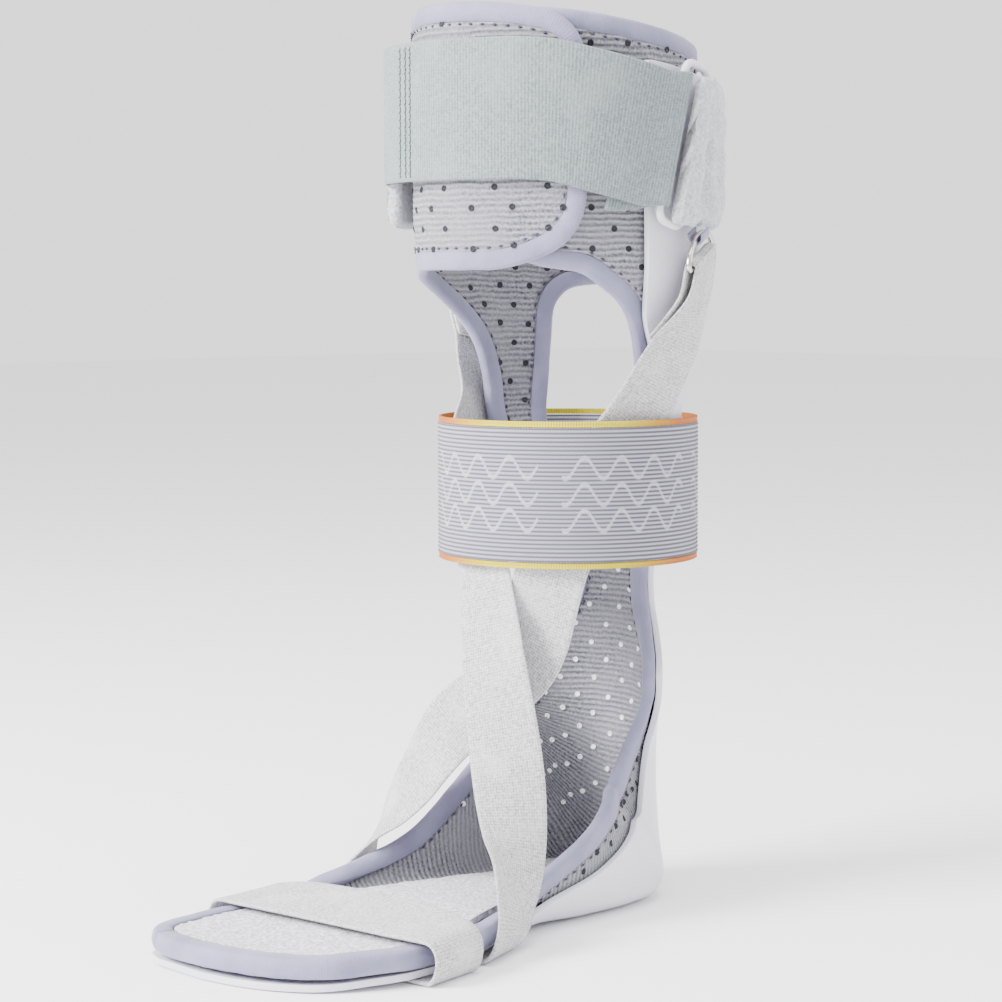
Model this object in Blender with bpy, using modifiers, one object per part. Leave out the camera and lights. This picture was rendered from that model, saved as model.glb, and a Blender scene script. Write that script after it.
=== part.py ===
"""Foot drop brace: a plastic leg and foot shell, its bound textile liner, and its straps.

Metres, +Z up. The origin is the middle of the heel's flat underside, the toes point along -Y, and
+X is the near side. Round the leg, angles are in degrees from the back (+Y), positive on the near
side and negative on the far side.
"""
import math

import bmesh
import bpy
from mathutils import Vector

# Overall sizes
BRACE_HEIGHT = 0.357
FORE_LENGTH = 0.197
HEEL_BACK = 0.0225
BALL_WIDTH = 0.108
WING_HEIGHT = 0.068
PLATE_ARCH = 0.0017
TOE_LIFT = 0.0009
LEG_AXIS_Y = -0.011
CUFF_WIDTH = 0.110
CUFF_DEPTH = 0.112

# Walls and clearances
SHELL_WALL = 0.0025
LINER_WALL = 0.0040
INSOLE_WALL = 0.0025
LINER_GAP = 0.0013
CLEARANCE = 0.0003

# Edge tape
BINDING_WIDTH = 0.0070
BINDING_THICKNESS = 0.0050
SOLE_BINDING_THICKNESS = 0.0078
BINDING_GAP = 0.0008

# The window through the back and the two front flaps
WINDOW_LOW = 0.172
WINDOW_HIGH = 0.251
WINDOW_HALF_ARC = 0.0455
WINDOW_CORNER_LOW = 0.036
WINDOW_CORNER_HIGH = 0.020
WINDOW_SILL_SHARE = 0.28
WINDOW_HEAD_SHARE = 0.60
FLAP_LOW = 0.256
FLAP_FILLET = 0.010
FAR_FLAP_END = 238.0
NEAR_FLAP_END = 165.0
FLAP_CORNER_LOW = 0.022
FLAP_CORNER_HIGH = 0.011
LAP_START = 140.0
LAP_END = 188.0
RIM_DROP = 0.016
SHELL_CUFF_ANGLE = 98.0
SHELL_RIM_SETBACK = 0.014
SHELL_WINDOW_SETBACK = 0.003

# Ankle band
BAND_RADIUS = 0.0527
BAND_WALL = 0.0020
BAND_LOW = 0.141
BAND_HEIGHT = 0.057
TRIM_HEIGHT = 0.0022

# Cross straps and forefoot strap
STRAP_WIDTH = 0.028
STRAP_THICKNESS = 0.0011

# Calf strap, its ring and the padded strap
CALF_STRAP_WIDTH = 0.053
CALF_STRAP_THICKNESS = 0.0015
PAD_THICKNESS = 0.0050
PAD_WIDTH = 0.058
PAD_HEIGHT = 0.302
PAD_FAR_END = 130.0
SLOT_RING_HEIGHT = 0.066
SLOT_RING_CENTRE = 0.304
SLOT_RING_WIDTH = 0.014
SLOT_RING_WIRE = 0.0032
SLOT_RING_ANGLE = 84.5
SLOT_RING_TILT = 16.0

# D-rings and the tabs that hold them
D_RING_WIRE = 0.0024
D_RING_WIDTH = 0.033
D_RING_HEIGHT = 0.0095
D_RING_ANGLE = 77.0
D_RING_FACE = 63.0
D_RING_TILT = 17.0
D_RING_STAND_OFF = 0.0106
D_RING_BAR_HEIGHT = 0.2605
TAB_WIDTH = 0.010
TAB_THICKNESS = 0.0010

# Mesh fineness
ROW_STEP = 0.015
UPRIGHT_COLUMNS = 4
WINDOW_COLUMNS = 6
FLAP_ARC_STEP = 0.011
CUFF_ROWS = 6
SOLE_MIDDLE_SHARE = 0.55
SOLE_CORNER_ANGLES = (28.0, 44.0, 62.0)
COLUMN_MARGIN = 0.002
SILL_BLEND = 0.030
BINDING_LEAST_STEP = 0.0045
STRAP_STEP = 0.012
FOLD_STEPS = 4
BAND_STEPS = 36
PAD_STEPS = 22
PAD_LEVEL_ANGLE = 40.0
D_RING_ARC_STEPS = 8

SEAT_Z = SHELL_WALL + LINER_GAP
PIVOT_AHEAD = 0.035
PIVOT_RISE = 0.078

# Foot rows, toe to heel: share of FORE_LENGTH ahead of the heel, arch (PLATE_ARCH), the liner's lift
# off the plate (TOE_LIFT), shift to the near side and half width (BALL_WIDTH / 2), flat share of
# it, wall depth (WING_HEIGHT), squareness, near and far edge heights and the shell's setback from
# the near edge (WING_HEIGHT)
FOOT_ROWS = (
    (1.000, 0.15, 1.00, -0.270, 0.330, 0.70, 0.15, 2.0, 0.012, 0.012, 0.03),
    (0.984, 0.15, 1.00, -0.200, 0.560, 0.80, 0.15, 2.0, 0.012, 0.012, 0.03),
    (0.953, 0.15, 1.00, -0.090, 0.755, 0.82, 0.15, 2.0, 0.012, 0.012, 0.03),
    (0.896, 0.30, 0.95, 0.040, 0.910, 0.84, 0.15, 2.0, 0.012, 0.012, 0.03),
    (0.819, 0.90, 0.70, 0.130, 0.985, 0.84, 0.15, 2.0, 0.014, 0.014, 0.03),
    (0.730, 1.00, 0.30, 0.170, 1.015, 0.84, 0.15, 2.0, 0.018, 0.020, 0.03),
    (0.600, 1.00, 0.00, 0.135, 0.980, 0.82, 0.20, 2.2, 0.040, 0.080, 0.04),
    (0.456, 1.00, 0.00, 0.055, 0.850, 0.74, 0.32, 2.6, 0.110, 0.200, 0.08),
    (0.300, 0.80, 0.00, 0.000, 0.725, 0.64, 0.52, 3.0, 0.260, 0.370, 0.14),
    (0.170, 0.00, 0.00, 0.000, 0.685, 0.62, 0.78, 4.0, 0.450, 0.690, 0.22),
)

# Heel rows, on planes through the ankle pivot: share of HEEL_BACK behind the heel's middle, rise
# (WING_HEIGHT), then the foot rows' columns from the half width on
HEEL_ROWS = (
    (-0.55, 0.000, 0.655, 0.68, 0.90, 4.6, 0.590, 0.820, 0.25),
    (0.110, 0.000, 0.615, 0.68, 1.04, 4.8, 0.710, 0.960, 0.26),
    (0.600, 0.004, 0.545, 0.62, 1.14, 4.8, 0.790, 1.034, 0.26),
    (0.900, 0.030, 0.490, 0.50, 1.16, 4.0, 0.790, 1.056, 0.26),
    (1.010, 0.150, 0.490, 0.32, 1.10, 2.9, 0.720, 0.997, 0.25),
    (1.020, 0.430, 0.515, 0.20, 0.94, 2.4, 0.570, 0.838, 0.20),
    (1.040, 0.735, 0.560, 0.12, 0.76, 2.1, 0.410, 0.674, 0.12),
)

# Leg rows: height (BRACE_HEIGHT), distance of the back behind the leg axis (CUFF_DEPTH / 2), half
# width (CUFF_WIDTH / 2), depth (CUFF_DEPTH / 2), near and far edge angles, and the shell's setback
# from the near edge (WING_HEIGHT)
LEG_ROWS = (
    (0.227, 0.625, 0.590, 0.580, 58.0, 82.0, 0.06),
    (0.262, 0.620, 0.595, 0.520, 62.0, 78.0, 0.03),
    (0.296, 0.605, 0.605, 0.560, 44.0, 62.0, 0.03),
    (0.338, 0.595, 0.655, 0.640, 28.0, 42.0, 0.03),
    (0.392, 0.590, 0.700, 0.690, 28.0, 36.0, 0.03),
    (0.432, 0.610, 0.740, 0.730, 45.0, 47.0, 0.04),
    (0.474, 0.680, 0.770, 0.760, 70.0, 71.0, 0.05),
    (0.516, 0.740, 0.790, 0.775, 86.0, 88.0, 0.08),
    (0.560, 0.780, 0.809, 0.795, 92.0, 95.0, 0.10),
    (0.602, 0.810, 0.820, 0.805, 95.0, 99.0, 0.09),
    (0.644, 0.835, 0.845, 0.830, 99.0, 106.0, 0.05),
    (0.678, 0.850, 0.905, 0.885, 104.0, 116.0, 0.05),
    (0.702, 0.865, 0.970, 0.945, 112.0, 128.0, 0.05),
    (0.724, 0.875, 1.020, 0.990, 122.0, 140.0, 0.05),
    (0.800, 0.880, 1.030, 1.010, 130.0, 150.0, 0.05),
    (0.900, 0.885, 1.025, 1.015, 130.0, 150.0, 0.05),
    (1.010, 0.915, 1.025, 1.035, 130.0, 150.0, 0.05),
)

# The insole's heel end (HEEL_BACK) and its gap to the sole's rounded corners
INSOLE_HEEL_END = 0.62
INSOLE_SIDE_GAP = 0.0028

# Cross straps, from the D-ring down: height (BRACE_HEIGHT), angle from the back, distance from the
# leg axis (BAND_RADIUS), the way the strap's face looks, and how far it looks down
NEAR_STRAP_ROWS = (
    (0.700, 81.5, 1.240, 70.0, 0.0),
    (0.650, 84.7, 1.110, 80.0, 0.0),
    (0.600, 91.0, 0.975, 90.0, 0.0),
    (0.560, 97.6, 0.893, 98.0, 0.0),
    (0.504, 115.0, 0.876, 115.0, 0.0),
    (0.448, 129.0, 0.882, 129.0, 0.0),
    (0.402, 140.5, 0.882, 140.0, 0.0),
    (0.350, 147.0, 0.837, 147.0, 0.0),
    (0.294, 157.9, 0.706, 157.0, 0.0),
    (0.252, 180.0, 0.721, 165.0, 0.0),
    (0.207, 204.0, 0.934, 172.0, 0.0),
    (0.140, 211.0, 1.217, 195.0, 0.0),
    (0.086, 217.0, 1.470, 226.0, 0.0),
    (0.050, 218.1, 1.595, 240.0, 0.0),
    (0.018, 218.3, 1.640, 255.0, 20.0),
    (0.0024, 212.5, 1.590, 262.0, 85.0),
    (0.0024, 207.2, 1.540, 268.0, 90.0),
)
FAR_STRAP_ROWS = (
    (0.700, 81.5, 1.240, 70.0, 0.0),
    (0.650, 84.7, 1.110, 80.0, 0.0),
    (0.600, 91.0, 0.975, 90.0, 0.0),
    (0.560, 97.6, 0.893, 98.0, 0.0),
    (0.504, 126.0, 0.876, 126.0, 0.0),
    (0.448, 156.0, 0.882, 156.0, 0.0),
    (0.402, 178.0, 0.882, 180.0, 0.0),
    (0.336, 186.0, 0.915, 190.0, 0.0),
    (0.280, 193.0, 1.003, 203.0, 0.0),
    (0.190, 204.0, 1.206, 225.0, 0.0),
    (0.090, 211.8, 1.510, 262.0, 0.0),
    (0.056, 213.2, 1.700, 280.0, 0.0),
    (0.034, 213.6, 1.790, 287.0, 0.0),
    (0.012, 213.8, 1.900, 289.0, 20.0),
    (0.0024, 210.0, 1.860, 289.0, 85.0),
    (0.0024, 205.0, 1.790, 289.0, 90.0),
)
# The strap's return layer inside the ring: distance between the layers (the ring's fold)
STRAP_RETURN_GAPS = (0.97, 0.84, 0.66)
WIDTH_BLEND_STEPS = 3
LEVEL_HEIGHT = 0.022

# Forefoot strap, from under the plate up the near side, over the top and down the far side: share
# of the sole's half width across, share of the way from the low to the high level, and the rise of
# the rear edge over the front edge (FOREFOOT_STRAP_SWELL)
FOREFOOT_STRAP_AHEAD = 0.690
FOREFOOT_STRAP_SLOPE = 0.125
FOREFOOT_STRAP_SWELL = 0.0065
FOREFOOT_EDGE_RISE = 0.024
SOLE_FLARE = 0.19
FOREFOOT_LOOP = (
    (1.030, 0.35, 0.0), (1.035, 0.72, 0.0), (0.975, 1.00, 0.15), (0.83, 1.02, 0.55),
    (0.60, 1.00, 0.90), (0.30, 1.00, 1.0), (0.0, 1.00, 1.0), (-0.30, 1.00, 0.95),
    (-0.60, 1.00, 0.8), (-0.83, 1.00, 0.45), (-0.965, 0.99, 0.15), (-1.035, 0.72, 0.0),
    (-1.035, 0.35, 0.0), (-0.985, 0.05, 0.0), (-0.90, 0.0, 0.0), (-0.45, 0.0, 0.0),
    (0.0, 0.0, 0.0), (0.45, 0.0, 0.0), (0.90, 0.0, 0.0), (0.985, 0.05, 0.0),
)

# Calf strap, from the slot ring round the front: cuff angle and stand-off (CALF_STAND_OFF)
CALF_STAND_OFF = 0.00975
CALF_STRAP_RISE = 0.0125
CALF_RISE_ANGLE = 47.0
CALF_RETURN = 0.018
CALF_RETURN_REACHES = (0.5, 1.0)
CALF_STRAP_ROWS = (
    (98.0, 1.01), (106.0, 0.98), (114.0, 0.96), (123.0, 0.95), (134.0, 0.94), (146.0, 0.94),
    (158.0, 0.94), (170.0, 0.94), (182.0, 0.95), (194.0, 0.97), (205.0, 1.00), (214.0, 1.05),
    (223.0, 1.10), (232.0, 1.14), (241.0, 1.14),
)


class Section:
    """Half of a cross-section: a flat, then a rounded wall, measured along from the spine."""

    def __init__(self, half_width, flat, depth, squareness):
        power = 2.0 / squareness
        self.angles = [float(step) for step in range(0, 176)]
        self.points = []
        self.lengths = []
        length = 0.0
        last = (0.0, 0.0)
        for angle in self.angles:
            sine = math.sin(math.radians(angle))
            cosine = math.cos(math.radians(angle))
            across = flat + (half_width - flat) * sine ** power
            inward = depth * (1.0 - math.copysign(abs(cosine) ** power, cosine))
            if angle == 0.0:
                across = flat
                inward = 0.0
            length += math.dist((across, inward), last)
            last = (across, inward)
            self.points.append(last)
            self.lengths.append(length)

    def length_at_height(self, height):
        for index in range(1, len(self.points)):
            after = self.points[index][1]
            if after >= height:
                before = self.points[index - 1][1]
                part = (height - before) / (after - before)
                span = self.lengths[index] - self.lengths[index - 1]
                return self.lengths[index - 1] + part * span
        return self.lengths[-1]

    def length_at_angle(self, angle):
        low = min(int(angle), len(self.angles) - 2)
        part = angle - self.angles[low]
        return self.lengths[low] + part * (self.lengths[low + 1] - self.lengths[low])

    def angle_at_length(self, length):
        for index in range(1, len(self.lengths)):
            if self.lengths[index] >= length:
                part = (length - self.lengths[index - 1]) / (self.lengths[index] - self.lengths[index - 1])
                return self.angles[index - 1] + part
        return self.angles[-1]

    def point_at_length(self, length):
        if length <= self.lengths[0]:
            return (length, 0.0)
        for index in range(1, len(self.lengths)):
            if self.lengths[index] >= length:
                step = self.lengths[index] - self.lengths[index - 1]
                part = (length - self.lengths[index - 1]) / step
                before = self.points[index - 1]
                after = self.points[index]
                return tuple(b + part * (a - b) for b, a in zip(before, after))
        return self.points[-1]


class Station:
    """One cross-section of the liner's outer face, set on the spine."""

    def __init__(self, values):
        self.y, self.z, self.lean, self.half_width, self.flat, self.depth = values[:6]
        self.squareness, self.near, self.far, self.setback, self.plate_drop, self.shift = values[6:]
        self.section = Section(self.half_width, self.flat, self.depth, self.squareness)

    def place(self, across, inward):
        lean = math.radians(self.lean)
        y = self.y - inward * math.sin(lean)
        return Vector((self.shift + across, y, self.z + inward * math.cos(lean)))

    def at_length(self, length):
        across, inward = self.section.point_at_length(abs(length))
        return self.place(math.copysign(across, length), inward)

    def at_angle(self, angle, outset=0.0):
        turn = math.radians(angle)
        across = (self.half_width + outset) * math.sin(turn)
        inward = self.depth - (self.depth + outset) * math.cos(turn)
        return self.place(across, inward)


def foot_row(row):
    ahead, arch, lift, shift, half_width, flat, depth, squareness, near, far, setback = row
    half_width *= BALL_WIDTH / 2
    section = Section(half_width, flat * half_width, depth * WING_HEIGHT, squareness)
    return (
        -ahead * FORE_LENGTH, SEAT_Z + arch * PLATE_ARCH + lift * TOE_LIFT, 0.0,
        half_width, flat * half_width, depth * WING_HEIGHT, squareness,
        section.length_at_height(near * WING_HEIGHT), section.length_at_height(far * WING_HEIGHT),
        setback * WING_HEIGHT, lift * TOE_LIFT, shift * BALL_WIDTH / 2,
    )


def heel_row(row):
    back, rise, half_width, flat, depth, squareness, near, far, setback = row
    y = back * HEEL_BACK
    lift = rise * WING_HEIGHT
    lean = math.degrees(math.atan2(y + PIVOT_AHEAD, PIVOT_RISE - lift))
    half_width *= BALL_WIDTH / 2
    section = Section(half_width, flat * half_width, depth * WING_HEIGHT, squareness)
    return (
        y, SEAT_Z + lift, lean,
        half_width, flat * half_width, depth * WING_HEIGHT, squareness,
        section.length_at_height(near * WING_HEIGHT), section.length_at_height(far * WING_HEIGHT),
        setback * WING_HEIGHT, 0.0, 0.0,
    )


def leg_row(row):
    height, back, half_width, depth, near, far, setback = row
    half_width *= CUFF_WIDTH / 2
    depth *= CUFF_DEPTH / 2
    section = Section(half_width, 0.0, depth, 2.0)
    return (
        LEG_AXIS_Y + back * CUFF_DEPTH / 2, height * BRACE_HEIGHT, 90.0,
        half_width, 0.0, depth, 2.0,
        section.length_at_angle(near), section.length_at_angle(far),
        setback * WING_HEIGHT, 0.0, 0.0,
    )


class Spine:
    """The rows in order from toe to rim, joined by smooth curves through their values."""

    def __init__(self):
        self.rows = [foot_row(row) for row in FOOT_ROWS]
        self.rows += [heel_row(row) for row in HEEL_ROWS]
        self.first_leg = len(self.rows)
        self.rows += [leg_row(row) for row in LEG_ROWS]
        self.marks = [0.0]
        for before, after in zip(self.rows, self.rows[1:]):
            self.marks.append(self.marks[-1] + math.dist(before[:2], after[:2]))

    def slope(self, index, column):
        low = max(index - 1, 0)
        high = min(index + 1, len(self.rows) - 1)
        change = self.rows[high][column] - self.rows[low][column]
        return change / (self.marks[high] - self.marks[low])

    def at(self, mark):
        index = 0
        while index < len(self.marks) - 2 and self.marks[index + 1] < mark:
            index += 1
        span = self.marks[index + 1] - self.marks[index]
        t = (mark - self.marks[index]) / span
        values = []
        for column in range(len(self.rows[0])):
            before = self.rows[index][column]
            after = self.rows[index + 1][column]
            rise = self.slope(index, column) * span
            fall = self.slope(index + 1, column) * span
            values.append(
                before * (2 * t ** 3 - 3 * t ** 2 + 1) + rise * (t ** 3 - 2 * t ** 2 + t)
                + after * (3 * t ** 2 - 2 * t ** 3) + fall * (t ** 3 - t ** 2)
            )
        return Station(values)

    def mark_at_height(self, height):
        low = self.marks[self.first_leg - 1]
        high = self.marks[-1]
        for _ in range(40):
            middle = (low + high) / 2
            if self.at(middle).z < height:
                low = middle
            else:
                high = middle
        return low

    def at_height(self, height):
        return self.at(self.mark_at_height(height))

    def at_ahead(self, share):
        """The sole's cross-section at a share of FORE_LENGTH ahead of the heel."""
        low = 0.0
        high = self.marks[len(FOOT_ROWS) - 1]
        for _ in range(40):
            middle = (low + high) / 2
            if self.at(middle).y < -share * FORE_LENGTH:
                low = middle
            else:
                high = middle
        return self.at(low)

    def marks_up_to(self, height):
        """Marks of the table's rows, with long gaps divided, ending at a height of the leg."""
        end = self.mark_at_height(height)
        marks = [0.0]
        for mark in self.marks[1:]:
            target = min(mark, end)
            gap = target - marks[-1]
            pieces = max(1, math.ceil(gap / ROW_STEP - 0.2))
            start = marks[-1]
            for piece in range(1, pieces + 1):
                marks.append(start + gap * piece / pieces)
            if mark >= end:
                break
        return marks


SPINE = Spine()


def toe_squeeze(y, inset):
    """Draw the toe in by an inset, without moving the ball of the foot."""
    ball = -FOOT_ROWS[5][0] * FORE_LENGTH
    tip = -FORE_LENGTH
    if y >= ball:
        return y
    return ball + (y - ball) * (1.0 - inset / (ball - tip))


def window_half_arc(height, grow):
    """Half the window's width along the wall at a height, with its outline grown."""
    half = WINDOW_HALF_ARC + grow
    above_sill = (height - WINDOW_LOW + grow) / WINDOW_CORNER_LOW
    below_head = (WINDOW_HIGH + grow - height) / WINDOW_CORNER_HIGH
    if above_sill < 1.0:
        return half * rounded_share(above_sill, WINDOW_SILL_SHARE)
    if below_head < 1.0:
        return half * rounded_share(below_head, WINDOW_HEAD_SHARE)
    return half


def rounded_share(t, start):
    """A quarter-round rise from a starting share to one."""
    t = max(t, 0.0)
    return start + (1.0 - start) * math.sqrt(1.0 - (1.0 - t) ** 2)


def rim_height(angle):
    return BRACE_HEIGHT - RIM_DROP * (0.5 + 0.5 * math.cos(math.radians(angle)))


def lap_offset(angle):
    """How far the far flap stands out where it laps over the near flap."""
    t = (-angle - LAP_START) / (LAP_END - LAP_START)
    t = min(max(t, 0.0), 1.0)
    step = LINER_WALL + 2 * CLEARANCE + (BINDING_THICKNESS - LINER_WALL) + 0.0006
    return step * t * t * (3.0 - 2.0 * t)


def fit_columns(common, reach):
    """The shared columns that lie inside an edge, the rest spread evenly up to the edge."""
    kept = [length for length in common if length < reach - COLUMN_MARGIN]
    last = kept[-1] if kept else 0.0
    spare = len(common) + 1 - len(kept)
    return kept + [last + (reach - last) * (step + 1) / spare for step in range(spare)]


class Wrap:
    """The open surface of the liner or of the shell, as a mesh grid in blocks."""

    def __init__(self, inset, window_grow, with_flaps):
        self.inset = inset
        self.grow = window_grow
        self.with_flaps = with_flaps
        self.mesh = bmesh.new()

    def edges(self, station):
        """Lengths from the spine to the near and far edges of this piece."""
        if self.with_flaps:
            return station.near - self.inset, station.far - self.inset
        reach = station.near - station.setback
        reach = min(reach, station.section.length_at_angle(SHELL_CUFF_ANGLE))
        return reach, reach

    def station(self, mark):
        station = SPINE.at(mark)
        if self.with_flaps:
            station.y = toe_squeeze(station.y, self.inset)
        else:
            station.y = toe_squeeze(station.y, station.setback)
            station.z -= station.plate_drop
        return station

    def sole_points(self, station):
        """Lengths across a row below the window, closer together round the sole's corners."""
        near, far = self.edges(station)
        count = UPRIGHT_COLUMNS + WINDOW_COLUMNS // 2
        full = max(station.near, station.far)
        section = station.section
        corners = [station.flat * SOLE_MIDDLE_SHARE, station.flat]
        corners += [section.length_at_angle(angle) for angle in SOLE_CORNER_ANGLES]
        corners.append((corners[-1] + full) / 2)
        blend = min(station.flat / station.half_width / 0.3, 1.0)
        common = []
        for step in range(1, count):
            even = full * step / count
            common.append(even + blend * (corners[step - 1] - even))
        return [-length for length in fit_columns(common, far)][::-1] + [0.0] + fit_columns(common, near)

    def row_points(self, station, near_window, far_window):
        near, far = self.edges(station)
        upright = [1.0 - step / UPRIGHT_COLUMNS for step in range(UPRIGHT_COLUMNS)]
        middle = [1.0 - 2.0 * step / WINDOW_COLUMNS for step in range(WINDOW_COLUMNS + 1)]
        lengths = [-(far_window + (far - far_window) * part) for part in upright]
        for part in middle:
            lengths.append(-far_window * part if part > 0 else -near_window * part)
        lengths += [near_window + (near - near_window) * part for part in reversed(upright)]
        return lengths

    def build(self):
        low = WINDOW_LOW - self.grow
        high = WINDOW_HIGH + self.grow
        sill_arc = window_half_arc(low, self.grow)
        sill_mark = SPINE.mark_at_height(low)
        grid = []
        for mark in SPINE.marks_up_to(low):
            station = self.station(mark)
            lengths = self.sole_points(station)
            change = min(max((mark - sill_mark) / SILL_BLEND + 1.0, 0.0), 1.0)
            sill_lengths = self.row_points(station, sill_arc, sill_arc)
            lengths = [a + (b - a) * change for a, b in zip(lengths, sill_lengths)]
            grid.append([self.mesh.verts.new(station.at_length(length)) for length in lengths])
        self.fill(grid)

        upright_rows = self.upright_heights(low, high)
        last = grid[-1]
        upper = [last]
        angles = []
        for height in upright_rows:
            station = SPINE.at_height(height)
            arc = window_half_arc(height, self.grow)
            lengths = self.row_points(station, arc, arc)
            row = []
            for index, length in enumerate(lengths):
                inside = UPRIGHT_COLUMNS < index < UPRIGHT_COLUMNS + WINDOW_COLUMNS
                if inside and height != upright_rows[-1]:
                    row.append(None)
                else:
                    row.append(self.mesh.verts.new(station.at_length(length)))
            upper.append(row)
            if height == upright_rows[-1]:
                angles = [
                    math.copysign(station.section.angle_at_length(abs(length)), length)
                    for length in lengths
                ]
        for before, after in zip(upper, upper[1:]):
            for column in range(len(before) - 1):
                if column < UPRIGHT_COLUMNS or column >= UPRIGHT_COLUMNS + WINDOW_COLUMNS:
                    self.face(before, after, column)
        self.cuff(upper[-1], angles, high)
        self.mesh.verts.index_update()
        return self.mesh

    def upright_heights(self, low, high):
        heights = [low + WINDOW_CORNER_LOW * step for step in (0.08, 0.26, 0.58, 1.0)]
        middle = high - low - WINDOW_CORNER_LOW - WINDOW_CORNER_HIGH
        count = max(1, round(middle / ROW_STEP))
        heights += [low + WINDOW_CORNER_LOW + middle * (step + 1) / count for step in range(count)]
        heights += [high - WINDOW_CORNER_HIGH * (1.0 - step) for step in (0.40, 0.72, 0.90, 1.0)]
        return heights

    def cuff(self, joint, angles, joint_height):
        """The cuff block, from the joint row up to the rim, with the flaps if they are wanted."""
        columns = [(angle, vert, joint_height) for angle, vert in zip(angles, joint)]
        if self.with_flaps:
            inset_angle = math.degrees(self.inset / (CUFF_WIDTH / 2))
            columns = self.flap(angles[0], -(FAR_FLAP_END - inset_angle))[::-1] + columns
            columns = columns + self.flap(angles[-1], NEAR_FLAP_END - inset_angle)
        rows = [[] for _ in range(CUFF_ROWS + 1)]
        for angle, vert, bottom in columns:
            top = self.column_top(angle)
            for step in range(CUFF_ROWS + 1):
                if step == 0 and vert is not None:
                    rows[0].append(vert)
                    continue
                height = bottom + (top - bottom) * step / CUFF_ROWS
                station = SPINE.at_height(height)
                place = station.at_angle(angle, lap_offset(angle))
                rows[step].append(self.mesh.verts.new(place))
        self.fill(rows)

    def column_top(self, angle):
        if not self.with_flaps:
            return rim_height(angle) - SHELL_RIM_SETBACK
        top = rim_height(angle) - self.inset
        return top - self.corner_drop(angle, FLAP_CORNER_HIGH)

    def corner_drop(self, angle, radius):
        """How far a flap's rounded corner cuts into its end."""
        end = FAR_FLAP_END if angle < 0 else NEAR_FLAP_END
        reach = CUFF_WIDTH / 2
        remaining = math.radians(end - abs(angle)) * reach - self.inset
        if remaining >= radius:
            return 0.0
        part = (radius - max(remaining, 0.0)) / radius
        return radius * (1.0 - math.sqrt(max(1.0 - part * part, 0.0))) * 0.9

    def flap(self, start, end):
        reach = CUFF_WIDTH / 2
        count = math.ceil(math.radians(abs(end - start)) * reach / FLAP_ARC_STEP)
        shares = [(step + 1) / count for step in range(count)]
        columns = []
        low = FLAP_LOW + self.inset
        joint_height = WINDOW_HIGH + self.grow
        for share in shares:
            angle = start + (end - start) * share
            run = math.radians(abs(angle - start)) * reach
            part = max(0.0, 1.0 - run / FLAP_FILLET)
            bottom = low + (joint_height - low) * part * part
            bottom += self.corner_drop(angle, FLAP_CORNER_LOW)
            columns.append((angle, None, bottom))
        return columns

    def fill(self, grid):
        for before, after in zip(grid, grid[1:]):
            for column in range(len(before) - 1):
                self.face(before, after, column)

    def face(self, before, after, column):
        corners = (before[column], before[column + 1], after[column + 1], after[column])
        self.mesh.faces.new(corners)


def make_collection(name):
    collection = bpy.data.collections.new(name)
    bpy.context.scene.collection.children.link(collection)
    return collection


def clear_scene():
    for old in list(bpy.data.objects):
        bpy.data.objects.remove(old, do_unlink=True)


def make_material(name, colour, roughness, metallic=0.0):
    material = bpy.data.materials.new(name)
    material.use_nodes = True
    shader = material.node_tree.nodes["Principled BSDF"]
    shader.inputs["Base Color"].default_value = (*colour, 1.0)
    shader.inputs["Roughness"].default_value = roughness
    shader.inputs["Metallic"].default_value = metallic
    return material


def add_object(name, mesh, material, collection):
    data = bpy.data.meshes.new(name)
    mesh.to_mesh(data)
    mesh.free()
    data.materials.append(material)
    data.shade_smooth()
    piece = bpy.data.objects.new(name, data)
    collection.objects.link(piece)
    return piece


def add_solidify(piece, thickness, offset):
    modifier = piece.modifiers.new("Wall", "SOLIDIFY")
    modifier.thickness = thickness
    modifier.offset = offset
    modifier.use_even_offset = True
    modifier.use_quality_normals = True
    return modifier


def boundary_loops(mesh):
    """The open surface's edge loops, longest first, each a list of (place, outward, normal)."""
    mesh.normal_update()
    waiting = {edge for edge in mesh.edges if edge.is_boundary}
    loops = []
    while waiting:
        edge = waiting.pop()
        start = edge.verts[0]
        vert = edge.verts[1]
        chain = [start, vert]
        while vert is not start:
            edge = next(other for other in vert.link_edges if other in waiting)
            waiting.discard(edge)
            vert = edge.other_vert(vert)
            if vert is not start:
                chain.append(vert)
        loops.append(chain)
    frames = [edge_frames(chain) for chain in loops]
    return sorted(frames, key=lambda loop: -loop_length(loop))


def loop_length(loop):
    return sum((a[0] - b[0]).length for a, b in zip(loop, loop[1:] + loop[:1]))


def edge_frames(chain):
    """The loop's places with their directions out of the surface's edge and their normals."""
    frames = []
    lean = 0.0
    for index, vert in enumerate(chain):
        along = (chain[(index + 1) % len(chain)].co - chain[index - 1].co).normalized()
        outward = along.cross(vert.normal).normalized()
        for face in vert.link_faces:
            lean += outward.dot(vert.co - face.calc_center_median())
        frames.append((vert.co.copy(), outward, vert.normal.copy()))
    if lean < 0.0:
        frames = [(place, -outward, normal) for place, outward, normal in frames]
    return frames


def loft(sections, closed):
    """A closed body through sections with equal numbers of points."""
    mesh = bmesh.new()
    rings = [[mesh.verts.new(point) for point in section] for section in sections]
    pairs = list(zip(rings, rings[1:]))
    if closed:
        pairs.append((rings[-1], rings[0]))
    for before, after in pairs:
        for index in range(len(before)):
            following = (index + 1) % len(before)
            mesh.faces.new((before[index], before[following], after[following], after[index]))
    if not closed:
        mesh.faces.new(rings[0][::-1])
        mesh.faces.new(rings[-1])
    bmesh.ops.recalc_face_normals(mesh, faces=mesh.faces)
    return mesh


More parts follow.
